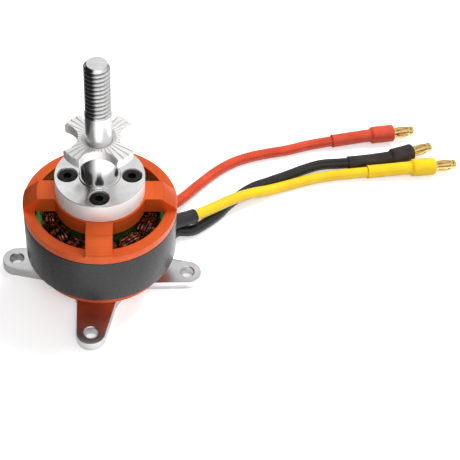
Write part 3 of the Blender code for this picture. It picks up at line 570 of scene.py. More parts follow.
SHRINKS = {
    "red": shrink_film("shrink_red", (0.6, 0.075, 0.035), (0.5, 0.05, 0.022)),
    "black": shrink_film("shrink_black", (0.032, 0.025, 0.024), (0.016, 0.012, 0.012)),
    "yellow": shrink_film("shrink_yellow", (0.86, 0.57, 0.008), (0.78, 0.49, 0.006)),
}


# --- Front bell ---

BELL_FLAT_RADIUS = 20.2 * MM
BELL_CORNER_HEIGHT = 36.0 * MM
BELL_UNDERSIDE = 34.6 * MM
BELL_RIM_TOP = 35.2 * MM
BELL_SIDE_BOTTOM = 32.2 * MM
BELL_HUB_RADIUS = 14.9 * MM
BELL_RIM_INNER = 21.6 * MM
BELL_NECK_RADIUS = 5.2 * MM
BELL_NECK_TIP = 4.4 * MM
BELL_SPIGOT = 23.35 * MM
BELL_BORE = 3.05 * MM
SPOKE_HALF_WIDTH = 4.2 * MM
WINDOW_FILLET = 0.3 * MM
WINDOW_STEPS = 24
SCREW_CIRCLE = 10.2 * MM
SCREW_HOLE = 1.5 * MM
PAST = 10.0 * MM


def arc_between(centre, start, end, steps=7):
    """Points on a circle, the short way from one point to another."""
    centre = Vector(centre)
    one, two = Vector(start) - centre, Vector(end) - centre
    first = math.atan2(one.y, one.x)
    sweep = (math.atan2(two.y, two.x) - first + math.pi) % TURN - math.pi
    radius = one.length
    return [
        (centre.x + radius * math.cos(first + sweep * i / steps),
         centre.y + radius * math.sin(first + sweep * i / steps))
        for i in range(steps + 1)
    ]


def window_outline(inner, outer, spoke_deg):
    """The opening after one spoke, anticlockwise, with a fillet in each corner."""
    near, far = inner + WINDOW_FILLET, outer - WINDOW_FILLET
    off = SPOKE_HALF_WIDTH + WINDOW_FILLET
    inside = (math.sqrt(near * near - off * off), off)
    outside = (math.sqrt(far * far - off * off), off)
    hub_end = Vector(inside) * inner / near
    rim_end = Vector(outside) * outer / far
    side = arc_between(inside, hub_end, (inside[0], SPOKE_HALF_WIDTH))
    side += arc_between(outside, (outside[0], SPOKE_HALF_WIDTH), rim_end)
    mirrored = [(y, x) for x, y in reversed(side)]
    rim = arc_between((0, 0), rim_end, (rim_end.y, rim_end.x), WINDOW_STEPS)[1:-1]
    hub = arc_between((0, 0), (hub_end.y, hub_end.x), hub_end, WINDOW_STEPS)[1:-1]
    return spun(side + rim + mirrored + hub, spoke_deg)


def make_bell():
    neck_bottom, top = heights("front_bell")
    spigot_bottom = neck_bottom + 0.25 * MM
    outline = [
        (top, BELL_BORE), (top, BELL_FLAT_RADIUS), (BELL_CORNER_HEIGHT, radius_of("front_bell")),
        (BELL_SIDE_BOTTOM, radius_of("front_bell")), (BELL_SIDE_BOTTOM, BELL_SPIGOT),
        (spigot_bottom, BELL_SPIGOT), (spigot_bottom, BELL_RIM_INNER),
        (BELL_UNDERSIDE, BELL_RIM_INNER), (BELL_UNDERSIDE, BELL_NECK_RADIUS),
        (neck_bottom, BELL_NECK_TIP), (neck_bottom, BELL_BORE),
    ]
    bell = turned(outline, 0.35 * MM, FINE)
    for spoke in SPOKES_DEG:
        above = window_outline(BELL_HUB_RADIUS, radius_of("front_bell") + PAST, spoke)
        through_all = window_outline(BELL_HUB_RADIUS, BELL_RIM_INNER - 0.1 * MM, spoke)
        cut(bell, prism(above, BELL_RIM_TOP, top + PAST))
        cut(bell, prism(through_all, neck_bottom - PAST, BELL_CORNER_HEIGHT))
        place = polar(SCREW_CIRCLE, spoke)
        cut(bell, drill(SCREW_HOLE, neck_bottom, top + PAST, place))
    dress(bell, "front_bell", ORANGE)


# --- Propeller adapter, its screws and the drive washer ---

ADAPTER_RADIUS = 14.4 * MM
ADAPTER_TOP = 47.0 * MM
ADAPTER_BORE_TOP = 45.25 * MM
COLLAR_RADIUS = 6.6 * MM
COLLAR_TOP = 47.6 * MM
NECK_RADIUS = 5.95 * MM
NECK_TOP = 59.8 * MM
WELL_RADIUS = 3.25 * MM
WELL_FLOOR = 43.7 * MM
CLEARANCE_HOLE = 1.6 * MM
STUD_RADIUS = 4.0 * MM
SHANK_RADIUS = 4.2 * MM
THREAD_BOTTOM = 73.4 * MM
THREAD_PITCH = 1.52 * MM
THREAD_DEPTH = 0.75 * MM
THREAD_CHAMFER = 1.0 * MM
# Radii between which the thread's roots go from full painted shade to none.
THREAD_SHADE_RADII = (STUD_RADIUS - THREAD_DEPTH + 0.12 * MM, STUD_RADIUS - 0.15 * MM)
THREAD_CONE = 0.9
THREAD_RUN_IN = 0.4
ROWS_PER_PITCH = 14


def thread_ridge(phase):
    """Height of a ridge over its root, from 0 to 1, with a rounded crest and root."""
    return (0.5 + 0.5 * math.cos(TURN * phase)) ** 0.75


def stud_shape(s, r, turn):
    """Moves a point of the stud to the thread's helix. It is right-handed."""
    if r < 0.3 * STUD_RADIUS or s < THREAD_BOTTOM:
        return s, r
    cone = STUD_RADIUS - max(0.0, s - (high("prop_adapter") - THREAD_CHAMFER)) * THREAD_CONE
    run_in = min(1.0, (s - THREAD_BOTTOM) / (THREAD_RUN_IN * THREAD_PITCH))
    ridge = thread_ridge((s - THREAD_BOTTOM) / THREAD_PITCH - turn / TURN)
    return s, min(r, cone, STUD_RADIUS - run_in * THREAD_DEPTH * (1.0 - ridge))


def make_adapter():
    bottom, top = heights("prop_adapter")
    outline = [
        (bottom, BELL_BORE), (bottom, ADAPTER_RADIUS), (ADAPTER_TOP, ADAPTER_RADIUS),
        (ADAPTER_TOP, COLLAR_RADIUS), (COLLAR_TOP, COLLAR_RADIUS), (COLLAR_TOP, NECK_RADIUS),
        (NECK_TOP, NECK_RADIUS), (NECK_TOP, STUD_RADIUS - 0.5 * MM),
        (ADAPTER_BORE_TOP, STUD_RADIUS - 0.5 * MM), (ADAPTER_BORE_TOP, BELL_BORE),
    ]
    flange = turned(outline, 0.2 * MM, FINE)
    for spoke in SPOKES_DEG:
        place = polar(SCREW_CIRCLE, spoke)
        well = drill(WELL_RADIUS, WELL_FLOOR, 0.0, place, 0.12 * MM, ADAPTER_TOP)
        cut(flange, well, drill(CLEARANCE_HOLE, bottom - PAST, ADAPTER_TOP, place))
    start = THREAD_BOTTOM
    count = round((top - start) / THREAD_PITCH * ROWS_PER_PITCH)
    rows = [(NECK_TOP - MM, 0.0), (NECK_TOP - MM, SHANK_RADIUS)]
    rows += [(start - 0.2 * MM, SHANK_RADIUS), (start - 0.02 * MM, SHANK_RADIUS - 0.16 * MM)]
    rows += [(start + (top - start) * i / count, STUD_RADIUS) for i in range(count + 1)]
    end_radius = STUD_RADIUS - THREAD_CHAMFER
    rows += [(top, end_radius * share) for share in (0.9, 0.5, 0.0)]
    stud = swept(rows, AXIS, ROUND, shape=stud_shape)
    metal = adapter_metal(ADAPTER_TOP - 0.15 * MM)
    dress(joined([flange, stud]), "prop_adapter", metal)


CAP_HEAD_RADIUS = 2.95 * MM
CAP_HEAD_HEIGHT = 3.0 * MM
SCREW_RADIUS = 1.45 * MM
CAP_HEX_RADIUS = 1.45 * MM
CAP_HEX_DEPTH = 1.5 * MM


def hex_cutter(radius, bottom, top):
    return prism([polar(radius, 60.0 * i + 12.0) for i in range(6)], bottom, top)


def knurl(s, r, turn):
    """Fine grooves round the side of a screw's head."""
    if r < 0.97 * CAP_HEAD_RADIUS:
        return s, r
    return s, r - 0.07 * MM * abs(math.sin(18 * turn))


def make_adapter_screws():
    bottom, top = heights("adapter_screw_1")
    seat = top - CAP_HEAD_HEIGHT
    outline = [
        (bottom, 0.0), (bottom, SCREW_RADIUS), (seat, SCREW_RADIUS), (seat, CAP_HEAD_RADIUS),
        (seat + 0.8 * MM, CAP_HEAD_RADIUS), (top - 0.8 * MM, CAP_HEAD_RADIUS),
        (top, CAP_HEAD_RADIUS), (top, 0.0),
    ]
    for i, spoke in enumerate(SPOKES_DEG):
        node = f"adapter_screw_{i + 1}"
        screw = swept(rounded(outline, 0.4 * MM), AXIS, 144, shape=knurl)
        cut(screw, hex_cutter(CAP_HEX_RADIUS, top - CAP_HEX_DEPTH, top + MM))
        placed(screw, polar(SCREW_CIRCLE, spoke), 17.0 + 41.0 * i)
        dress(screw, node, BLACK_OXIDE)


WASHER_BORE = 4.26 * MM
NOTCH_CIRCLE = 12.3 * MM
NOTCH_RADIUS = 6.0 * MM
SERRATIONS = 36
GROOVE_SHARE = 0.26
INNER_GROOVE = 0.45 * MM
OUTER_GROOVE = 0.9 * MM
GROOVE_SHARP = math.radians(14)
SERRATION_START = 5.5 * MM
# The notches lie close to X and Y, so the CAD's box is smaller than this circle.
DRIVE_WASHER_RADIUS = 12.05 * MM


def washer_shape(s, r, turn):
    """Cuts radial V grooves into the washer's top. They deepen outwards."""
    top = high("drive_washer")
    if s < top - 0.2 * MM or r < SERRATION_START:
        return s, r
    out = (r - SERRATION_START) / (DRIVE_WASHER_RADIUS - SERRATION_START)
    wave = 1.0 - abs((turn / TURN * SERRATIONS) % 1.0 - 0.5) * 2.0 / GROOVE_SHARE
    return s - max(0.0, wave) * (INNER_GROOVE + (OUTER_GROOVE - INNER_GROOVE) * out), r


def make_drive_washer():
    bottom, top = heights("drive_washer")
    radius = DRIVE_WASHER_RADIUS
    edge = 0.3 * MM
    top_edge = 0.15 * MM
    rows = [
        (bottom, WASHER_BORE + edge), (bottom, radius - edge), (bottom + edge, radius),
        (top - 1.2 * MM, radius), (top - top_edge, radius), (top, radius - top_edge),
    ]
    inner = SERRATION_START
    rows += [(top, inner + (radius - top_edge - inner) * (5 - i) / 6) for i in range(6)]
    rows += [(top, inner - 0.05 * MM), (top - 0.55 * MM, WASHER_BORE + 0.2 * MM)]
    rows += [(top - 0.8 * MM, WASHER_BORE), (bottom + edge, WASHER_BORE)]
    washer = swept(rows, AXIS, SERRATIONS * 16, True, washer_shape, GROOVE_SHARP)
    for spoke in SPOKES_DEG:
        place = polar(NOTCH_CIRCLE, spoke)
        cut(washer, drill(NOTCH_RADIUS, bottom - PAST, top + PAST, place))
    dress(washer, "drive_washer", SATIN)


# --- Can, magnets and core ---

RING_INNER = 23.4 * MM
MAGNET_INNER = 21.45 * MM
MAGNET_OUTER = 23.25 * MM
MAGNETS = 14
MAGNET_HALF_DEG = 10.75
TEETH = 12
TEETH_DEG = [12.0 + 360.0 * i / TEETH for i in range(TEETH)]
CORE_BORE = 9.55 * MM
CORE_RING = 12.3 * MM
CORE_RADIUS = 21.0 * MM
TOOTH_HALF_WIDTH = 1.3 * MM
TIP_INNER = 19.7 * MM
TIP_HALF_DEG = 12.8


def make_can():
    bottom, top = heights("flux_ring")
    outline = ring_outline(RING_INNER, radius_of("flux_ring"), bottom, top)
    dress(turned(outline, 0.3 * MM, FINE), "flux_ring", GUNMETAL)


def arc_points(radius, from_deg, to_deg, steps):
    return [polar(radius, from_deg + (to_deg - from_deg) * i / steps) for i in range(steps + 1)]


def make_magnets():
    bottom, top = heights("magnet_01")
    for i in range(MAGNETS):
        middle = ROTOR_DEG + 360.0 * i / MAGNETS
        first, last = middle - MAGNET_HALF_DEG, middle + MAGNET_HALF_DEG
        outline = arc_points(MAGNET_OUTER, first, last, 10)
        outline += arc_points(MAGNET_INNER, last, first, 10)
        node = f"magnet_{i + 1:02d}"
        dress(soften(prism(outline, bottom, top), 0.2 * MM), node, NICKEL)


def tooth_outline(middle_deg):
    """One T-shaped tooth and half of the ring on each side of it, seen from above."""
    ring_deg = math.degrees(math.asin(TOOTH_HALF_WIDTH / CORE_RING))
    neck = math.sqrt(TIP_INNER**2 - TOOTH_HALF_WIDTH**2)
    half_step = 180.0 / TEETH
    left = arc_points(CORE_RING, -half_step, -ring_deg, 4)[1:]
    left += [(neck, -TOOTH_HALF_WIDTH), polar(TIP_INNER, -TIP_HALF_DEG)]
    face = arc_points(CORE_RADIUS, -TIP_HALF_DEG, TIP_HALF_DEG, 12)
    right = [(x, -y) for x, y in reversed(left)]
    return spun(left + face + right, middle_deg)


def make_core():
    outline = [point for tooth in TEETH_DEG for point in tooth_outline(tooth)]
    bottom, top = heights("stator_core")
    core = prism(outline, bottom, top)
    cut(core, drill(CORE_BORE, bottom - PAST, top + PAST, (0.0, 0.0)))
    dress(soften(core, 0.15 * MM, 40.0), "stator_core", GREEN)


# --- Windings ---

WIRE_RADIUS = 0.44 * MM
WIRE_PITCH = 0.9 * MM
COIL_INNER = 12.95 * MM
COIL_OUTER = 19.15 * MM
LAYER_STEP = 0.84 * MM
TOOTH_COVER = 0.16 * MM
THIRD_LAYER_START = 15.7 * MM
POINTS_PER_LOOP = 40
WIRE_SIDES = 8
JUMPER_HEIGHT = 12.95 * MM
JUMPERS = {"a": 13.3 * MM, "b": 14.4 * MM, "c": 15.5 * MM}
PHASE_TEETH = {"a": (0, 1, 6, 7), "b": (2, 3, 8, 9), "c": (4, 5, 10, 11)}


def loop_point(share, half_width, half_height, corner):
    """A point on a rounded rectangle round a tooth, as (sideways, height), from 0 to 1."""
    wide, tall = half_width - corner, half_height - corner
    bend = math.pi / 2 * corner
    total = 4 * (wide + tall + bend)
    at = (share % 1.0) * total
    sides = [(0.0, 2 * tall), (90.0, 2 * wide), (180.0, 2 * tall), (270.0, 2 * wide)]
    centres = [(wide, tall), (-wide, tall), (-wide, -tall), (wide, -tall)]
    starts = [(half_width, -tall), (wide, half_height), (-half_width, tall), (-wide, -half_height)]
    for (heading, length), centre, start in zip(sides, centres, starts):
        turn = math.radians(heading)
        if at < length:
            return start[0] - at * math.sin(turn), start[1] + at * math.cos(turn)
        at -= length
        if at < bend:
            angle = turn + at / corner
            return centre[0] + corner * math.cos(angle), centre[1] + corner * math.sin(angle)
        at -= bend
    return starts[0]


def coil_layers():
    """(first place along the tooth, last place, distance of the wire from the tooth)."""
    first, last = COIL_INNER + WIRE_RADIUS, COIL_OUTER - WIRE_RADIUS
    near = TOOTH_COVER + WIRE_RADIUS
    return [
        (first, last, near),
        (last, first, near + LAYER_STEP),
        (THIRD_LAYER_START, last, near + 2 * LAYER_STEP),
    ]


def coil_points(wander):
    """The wire of one coil round a tooth that points along +X."""
    bottom, top = heights("stator_core")
    half_core, middle = (top - bottom) / 2, (top + bottom) / 2
    points = []
    for layer, (first, last, off) in enumerate(coil_layers()):
        loops = round(abs(last - first) / WIRE_PITCH)
        count = loops * POINTS_PER_LOOP
        for i in range(count):
            share = i / POINTS_PER_LOOP
            step = math.floor(share) + max(0.0, (share % 1.0 - 0.85) / 0.15)
            along = first + (last - first) * step / loops
            corner = min(1.4 * MM, 0.9 * off + 0.5 * MM)
            across, up = loop_point(share + 0.1, TOOTH_HALF_WIDTH + off, half_core + off, corner)
            nudge = 0.07 * MM * math.sin(wander + 1.7 * layer + 2.3 * math.floor(share + 0.1))
            points.append((along + nudge, across, middle + up))
    return points


def wire(path):
    rows = [(0.0, 0.0)] + [(s, WIRE_RADIUS) for s in path.length_at] + [(path.length, 0.0)]
    return swept(rows, path, WIRE_SIDES)


def make_winding(phase, wire_circle):
    pieces = []
    for tooth in PHASE_TEETH[phase]:
        spin = Matrix.Rotation(math.radians(TEETH_DEG[tooth]), 3, "Z")
        path = Path([spin @ Vector(point) for point in coil_points(1.3 * tooth)])
        pieces.append(wire(path))
    first, *_, last = PHASE_TEETH[phase]
    flat = arc_points(wire_circle, TEETH_DEG[first], TEETH_DEG[last], 60)
    lift = low("stator_core") - 2.4 * MM
    route = [(*flat[0], lift)] + [(x, y, JUMPER_HEIGHT) for x, y in flat[1:-1]]
    path = Path(route + [(*flat[-1], lift)])
    pieces.append(wire(path))
    node = f"winding_{phase}"
    dress(joined(pieces), node, COPPER)


# --- Leads and plugs ---

LEAD_RADIUS = 2.0 * MM
LEAD_REST = 2.05 * MM
SHRINK_RADIUS = 2.5 * MM
SHRINK_BORE = 2.1 * MM
SHRINK_PLUG_RADIUS = 3.35 * MM
SHRINK_PLUG_BORE = 2.85 * MM
SHRINK_LENGTH = 9.0 * MM
EXIT_SLEEVE_RADIUS = 2.7 * MM
EXIT_SLEEVE_SPANS = (3, 5)
PER_SPAN = 10
PLUG_AHEAD = 8.0 * MM

# Routes in millimetres, from the motor outwards. A place with no height lies on the table.
LEADS = {
    "red": {
        "heading_deg": 15.3,
        "route": [
            (9.0, 15.4, 13.4), (9.2, 15.7, 9.8), (12.0, 19.2, 6.7), (17.3, 25.3, 5.9),
            (23.7, 32.4, 4.6), (30.3, 43.2, 2.7), (36.6, 51.9), (43.1, 58.0), (49.8, 62.0),
            (56.6, 64.8), (63.5, 67.3), (72.0, 71.2), (81.0, 74.0, 2.6), (96.4, 78.4, 3.4),
        ],
    },
    "black": {
        "heading_deg": 26.5,
        "route": [
            (15.4, 8.9, 13.4), (15.7, 9.1, 9.8), (18.2, 11.1, 5.3), (21.2, 15.6, 2.7),
            (24.5, 20.0, 2.1), (29.7, 20.9), (34.0, 24.6), (38.4, 29.6), (42.7, 36.2),
            (50.0, 44.4), (57.0, 48.9), (63.7, 53.0), (70.5, 57.4), (77.5, 60.8),
            (87.1, 62.3, 2.6), (103.9, 66.4, 3.4),
        ],
    },
    "yellow": {
        "heading_deg": 12.4,
        "route": [
            (12.6, 12.5, 13.4), (12.8, 12.7, 9.8), (15.4, 14.5, 7.1), (19.5, 17.0, 7.5),
            (24.1, 19.6, 7.6), (30.5, 23.7, 7.0), (37.6, 29.5, 6.4), (43.9, 34.6, 6.0),
            (50.4, 39.7, 4.4), (57.0, 43.7, 2.9), (63.7, 47.7), (77.3, 53.9),
            (94.5, 58.1, 2.6), (111.6, 61.6, 3.4),
        ],
    },
}


def lead_curve(lead):
    """(smooth points, direction of the plug) of one lead."""
    points = [
        np.array((place[0] * MM, place[1] * MM, place[2] * MM if len(place) == 3 else LEAD_REST))
        for place in lead["route"]
    ]
    ahead = np.array((*polar(1.0, lead["heading_deg"]), 0.0))
    points = [2 * points[0] - points[1], *points, points[-1] + PLUG_AHEAD * ahead]
    curve = through(points, PER_SPAN)
    for point in curve:
        point[2] = max(point[2], LEAD_REST)
    return curve, ahead


def tube_rows(path, radius, first=0.0, last=None, step=1.0 * MM):
    last = path.length if last is None else last
    count = max(2, math.ceil((last - first) / step))
    return [(first + (last - first) * i / count, radius) for i in range(count + 1)]


def sleeve_rows(path, first, last, outer, inner, lip=0.12 * MM):
    """Outline of a hollow sleeve whose lip stands a little proud at its start."""
    rows = [(first, inner), (first, outer * 0.985 + lip), (first + 0.35 * MM, outer + lip)]
    rows += [(first + 0.9 * MM, outer)]
    rows += tube_rows(path, outer, first + 1.2 * MM, last - 0.3 * MM, 0.5 * MM)
    return rows + [(last, outer - 0.2 * MM), (last, inner)]


def crumple(seed, amount):
    """A shape that lets a shrunk sleeve's surface wave in and out a little."""

    def shape(s, r, turn):
        wave = math.sin(900.0 * s + 2.0 * turn + seed) * math.sin(430.0 * s - 3.0 * turn + 2 * seed)
        return s, r - amount * (0.5 + 0.5 * wave)

    return shape


def make_plug_sleeve(colour, plug_path, lead_path, start):
    """The shrunk sleeve over the lead's end and the plug's body, on one joined path."""
    path = Path(np.concatenate([lead_path.points, plug_path.points[1:]]))
    plug = lead_path.length
    end = plug + SHRINK_LENGTH
    shoulder = plug - 0.9 * MM
    rows = sleeve_rows(path, start, shoulder, SHRINK_RADIUS, SHRINK_BORE)[:-2]
    climb = [(0.0, 0.0), (0.25, 0.1), (0.5, 0.45), (0.75, 0.85), (1.0, 1.0)]
    gain = SHRINK_PLUG_RADIUS - SHRINK_RADIUS
    rows += [(shoulder + 1.6 * MM * t, SHRINK_RADIUS + gain * up) for t, up in climb]
    rows += tube_rows(path, SHRINK_PLUG_RADIUS, plug + 1.0 * MM, end - 0.35 * MM, 0.5 * MM)
    rows += [(end, SHRINK_PLUG_RADIUS - 0.12 * MM), (end, SHRINK_PLUG_BORE)]
    rows += [(plug + 0.8 * MM, SHRINK_PLUG_BORE), (plug - 0.6 * MM, SHRINK_BORE)]
    node = f"plug_sleeve_{colour}"
    shape = crumple(len(colour), 0.07 * MM)
    dress(swept(rows, path, SMALL, True, shape), node, SHRINKS[colour])


PLUG_BODY = (0.8 * MM, 8.8 * MM)
PLUG_BODY_RADIUS = 2.75 * MM
PIN_CORE_RADIUS = 1.3 * MM
PIN_END_RADIUS = 1.95 * MM
PIN_TIP = 17.9 * MM
PIN_END_START = 16.2 * MM
CAGE_ENDS = (9.35 * MM, 16.15 * MM)
CAGE_END_RADIUS = 1.87 * MM
CAGE_BULGE = 2.15 * MM
CAGE_SHEET = 0.16 * MM
CAGE_STRIPS = 9
CAGE_STRIP_SHARE = 0.7
CAGE_STRIP_WAIST = 0.16


def make_plug(colour, path):
    start, stop = PLUG_BODY
    outline = [
        (start, 0.0), (start, PLUG_BODY_RADIUS), (stop, PLUG_BODY_RADIUS), (stop, PIN_END_RADIUS),
        (stop + 0.5 * MM, PIN_END_RADIUS), (stop + 0.5 * MM, PIN_CORE_RADIUS),
        (PIN_END_START, PIN_CORE_RADIUS), (PIN_END_START, PIN_END_RADIUS),
        (PIN_TIP - 0.6 * MM, PIN_END_RADIUS), (PIN_TIP, PIN_END_RADIUS - 0.75 * MM),
        (PIN_TIP - 0.25 * MM, 0.5 * MM), (PIN_TIP - 0.45 * MM, 0.0),
    ]
    node = f"plug_{colour}"
    plug = swept(rounded(outline, 0.3 * MM), path, SMALL)
    dress(plug, node, GOLD)
    make_cage(colour, path)


def cage_radius(share):
    """Outer radius of the cage's sheet: level at both ends, with a bulge between them."""
    return CAGE_END_RADIUS + (CAGE_BULGE - CAGE_END_RADIUS) * math.sin(math.pi * share) ** 0.8


def make_cage(colour, path):
    """The sprung cage round the pin: two bands joined by bowed strips."""
    first, last = CAGE_ENDS
    band = 1.0 * MM
    pieces = []
    for start in (first, last - band):
        edge = [(start, CAGE_END_RADIUS - CAGE_SHEET), (start, CAGE_END_RADIUS)]
        edge += [(start + band, CAGE_END_RADIUS), (start + band, CAGE_END_RADIUS - CAGE_SHEET)]
        pieces.append(swept(rounded(edge, 0.05 * MM), path, SMALL, True))
    for i in range(CAGE_STRIPS):
        pieces.append(cage_strip(path, first + 0.7 * band, last - 0.7 * band, i / CAGE_STRIPS))
    node = f"contact_spring_{colour}"
    dress(joined(pieces), node, GOLD)


def cage_strip(path, first, last, turn):
    """One bowed strip of the cage, narrower at its middle."""
    steps, across = 14, 4
    bm = bmesh.new()
    layers = []
    for sheet in (0.0, CAGE_SHEET):
        rows = []
        for i in range(steps + 1):
            share = i / steps
            place, side, up = path.at(first + (last - first) * share)
            narrowing = 1.0 - CAGE_STRIP_WAIST * math.sin(math.pi * share)
            half = CAGE_STRIP_SHARE * TURN / CAGE_STRIPS / 2 * narrowing
            row = []
            for j in range(across + 1):
                angle = turn * TURN + half * (2.0 * j / across - 1.0)
                out = math.cos(angle) * side + math.sin(angle) * up
                row.append(bm.verts.new(place + (cage_radius(share) - sheet) * out))
            rows.append(row)
        layers.append(rows)
    outer, inner = layers
    for rows in layers:
        for one, two in zip(rows, rows[1:]):
            for j in range(across):
                bm.faces.new([one[j], one[j + 1], two[j + 1], two[j]])
    for j in (0, across):
        for i in range(steps):
            bm.faces.new([outer[i][j], outer[i + 1][j], inner[i + 1][j], inner[i][j]])
    return add_mesh(bm)


def make_lead(colour, lead):
    curve, ahead = lead_curve(lead)
    path = Path(curve)
    rows = [(0.0, 0.0), *tube_rows(path, LEAD_RADIUS), (path.length, 0.0)]
    dress(swept(rows, path, SMALL), f"lead_{colour}", WIRE_COVERS[colour])
    plug_path = Path([curve[-1] + ahead * PIN_TIP * i / 10 for i in range(11)])
    make_plug_sleeve(colour, plug_path, path, path.length_at[-1 - PER_SPAN])
    make_plug(colour, plug_path)
    return path


def make_exit_sleeve(path):
    first, last = (path.length_at[PER_SPAN * i] for i in EXIT_SLEEVE_SPANS)
    rows = sleeve_rows(path, first, last, EXIT_SLEEVE_RADIUS - 0.05 * MM, SHRINK_BORE, 0.0)
    shape = crumple(5.0, 0.08 * MM)
    sleeve = swept(rows, path, SMALL, True, shape)
    dress(sleeve, "exit_sleeve_yellow", SLEEVE_BLACK)


# --- Mount, base and bearings ---

ARM_HOLE_CIRCLE = 29.5 * MM
ARM_END_RADIUS = 4.85 * MM
ARM_HOLE_RADIUS = 2.2 * MM
ARM_ROOT = 17.5 * MM
ARM_ROOT_HALF = 6.4 * MM
MOUNT_SCREW_CIRCLE = 12.5 * MM
MOUNT_HEAD_RADIUS = 2.75 * MM
MOUNT_HEAD_HEIGHT = 1.65 * MM
BOSS_RADIUS = 15.0 * MM
FLANGE_BOTTOM = 10.0 * MM
FLANGE_TOP = 13.9 * MM
DISH_RADIUS = 20.9 * MM
DISH_FLOOR = 12.2 * MM
TUBE_RADIUS = 9.5 * MM
TUBE_BORE = 6.7 * MM
SEAT_RADIUS = 7.53 * MM
SLOT_RADII = (15.4 * MM, 21.3 * MM)
SLOT_DEG = (20.5, 69.5)


def arm_outline(turn_deg):
    """One arm's edge, from its root on one side round its end, then the fillet to the next."""
    taper = math.atan2(ARM_ROOT_HALF - ARM_END_RADIUS, ARM_HOLE_CIRCLE - ARM_ROOT)
    side = [(ARM_ROOT, -ARM_ROOT_HALF)]
    for i in range(25):
        across, along = polar(ARM_END_RADIUS, 180.0 * i / 24)
        side.append((ARM_HOLE_CIRCLE + along, -across))
    side.append((ARM_ROOT, ARM_ROOT_HALF))
    radius = (ARM_ROOT - ARM_ROOT_HALF) / (math.cos(taper) - math.sin(taper))
    centre = ARM_ROOT + radius * math.sin(taper)
    first, last = -math.pi / 2 - taper, -math.pi + taper
    for i in range(1, 20):
        angle = first + (last - first) * i / 20
        side.append((centre + radius * math.cos(angle), centre + radius * math.sin(angle)))
    return spun(side, turn_deg)


def make_mount():
    top = high("x_mount")
    outline = [point for i in range(4) for point in arm_outline(90.0 * i)]
    mount = soften(prism(outline, 0.0, top), 0.25 * MM, 60.0, 3)
    for i in range(4):
        hole = polar(ARM_HOLE_CIRCLE, 90.0 * i)
        cut(mount, drill(ARM_HOLE_RADIUS, -PAST, 0.0, hole, 0.35 * MM, top))
        seat = swept([
            (-MM, 0.0), (-MM, MOUNT_HEAD_RADIUS + 0.15 * MM),
            (0.15 * MM, MOUNT_HEAD_RADIUS + 0.15 * MM),
            (MOUNT_HEAD_HEIGHT + 0.15 * MM, CLEARANCE_HOLE), (top + MM, CLEARANCE_HOLE),
            (top + MM, 0.0),
        ], AXIS, SMALL)
        cut(mount, placed(seat, polar(MOUNT_SCREW_CIRCLE, 90.0 * i)))
    dress(mount, "x_mount", PLATE)


def make_mount_screws():
    bottom, top = heights("mount_screw_1")
    outline = [
        (bottom, 0.0), (bottom, MOUNT_HEAD_RADIUS), (MOUNT_HEAD_HEIGHT, SCREW_RADIUS),
        (top, SCREW_RADIUS), (top, 0.0),
    ]
    for i in range(4):
        node = f"mount_screw_{i + 1}"
        screw = turned(outline, 0.15 * MM, SMALL)
        cut(screw, hex_cutter(MM, -MM, bottom + 1.2 * MM))
        placed(screw, polar(MOUNT_SCREW_CIRCLE, 90.0 * i), 25.0 * i)
        dress(screw, node, BLACK_OXIDE)


def make_base():
    bottom, top = heights("base_housing")
    radius = radius_of("base_housing")
    rear = high("rear_bearing_outer_ring") + 0.05 * MM
    front = low("front_bearing_outer_ring") - 0.05 * MM
    outline = [
        (bottom, SEAT_RADIUS), (bottom, BOSS_RADIUS), (FLANGE_BOTTOM, BOSS_RADIUS),
        (FLANGE_BOTTOM, radius), (FLANGE_TOP, radius), (FLANGE_TOP, DISH_RADIUS),
        (DISH_FLOOR, DISH_RADIUS), (DISH_FLOOR, TUBE_RADIUS), (top, TUBE_RADIUS),
        (top, SEAT_RADIUS), (front, SEAT_RADIUS), (front, TUBE_BORE), (rear, TUBE_BORE),
        (rear, SEAT_RADIUS),
    ]
    base = turned(outline, 0.5 * MM, FINE)
    slot = arc_points(SLOT_RADII[1], *SLOT_DEG, 24) + arc_points(SLOT_RADII[0], *SLOT_DEG[::-1], 24)
    cut(base, prism(slot, FLANGE_BOTTOM - PAST, DISH_FLOOR + 0.5 * MM))
    for i in range(4):
        place = polar(MOUNT_SCREW_CIRCLE, 90.0 * i)
        cut(base, drill(SCREW_HOLE, 0.0, high("mount_screw_1") + 0.5 * MM, place))
    dress(base, "base_housing", BASE_ORANGE)


BALL_CIRCLE = 5.3 * MM
BALL_RADIUS = 0.85 * MM
BALLS = 7
BALL_CAGE_HALF = 0.6 * MM
BALL_CAGE_HALF_SHEET = 0.2 * MM
OUTER_RACE = 6.2 * MM
INNER_RACE = 4.4 * MM
GROOVE_DEPTH = 0.3 * MM


def race_outline(face, back, bottom, top):
    """A ring with a ball groove in its face and rounded outer corners."""
    middle, half = (bottom + top) / 2, BALL_RADIUS
    toward = 1.0 if back > face else -1.0
    rows = [(bottom, face)]
    for i in range(9):
        at = -1.0 + 2.0 * i / 8
        rows.append((middle + half * at, face + toward * GROOVE_DEPTH * (1.0 - at * at)))
    return rounded(rows + [(top, face), (top, back), (bottom, back)], 0.15 * MM)


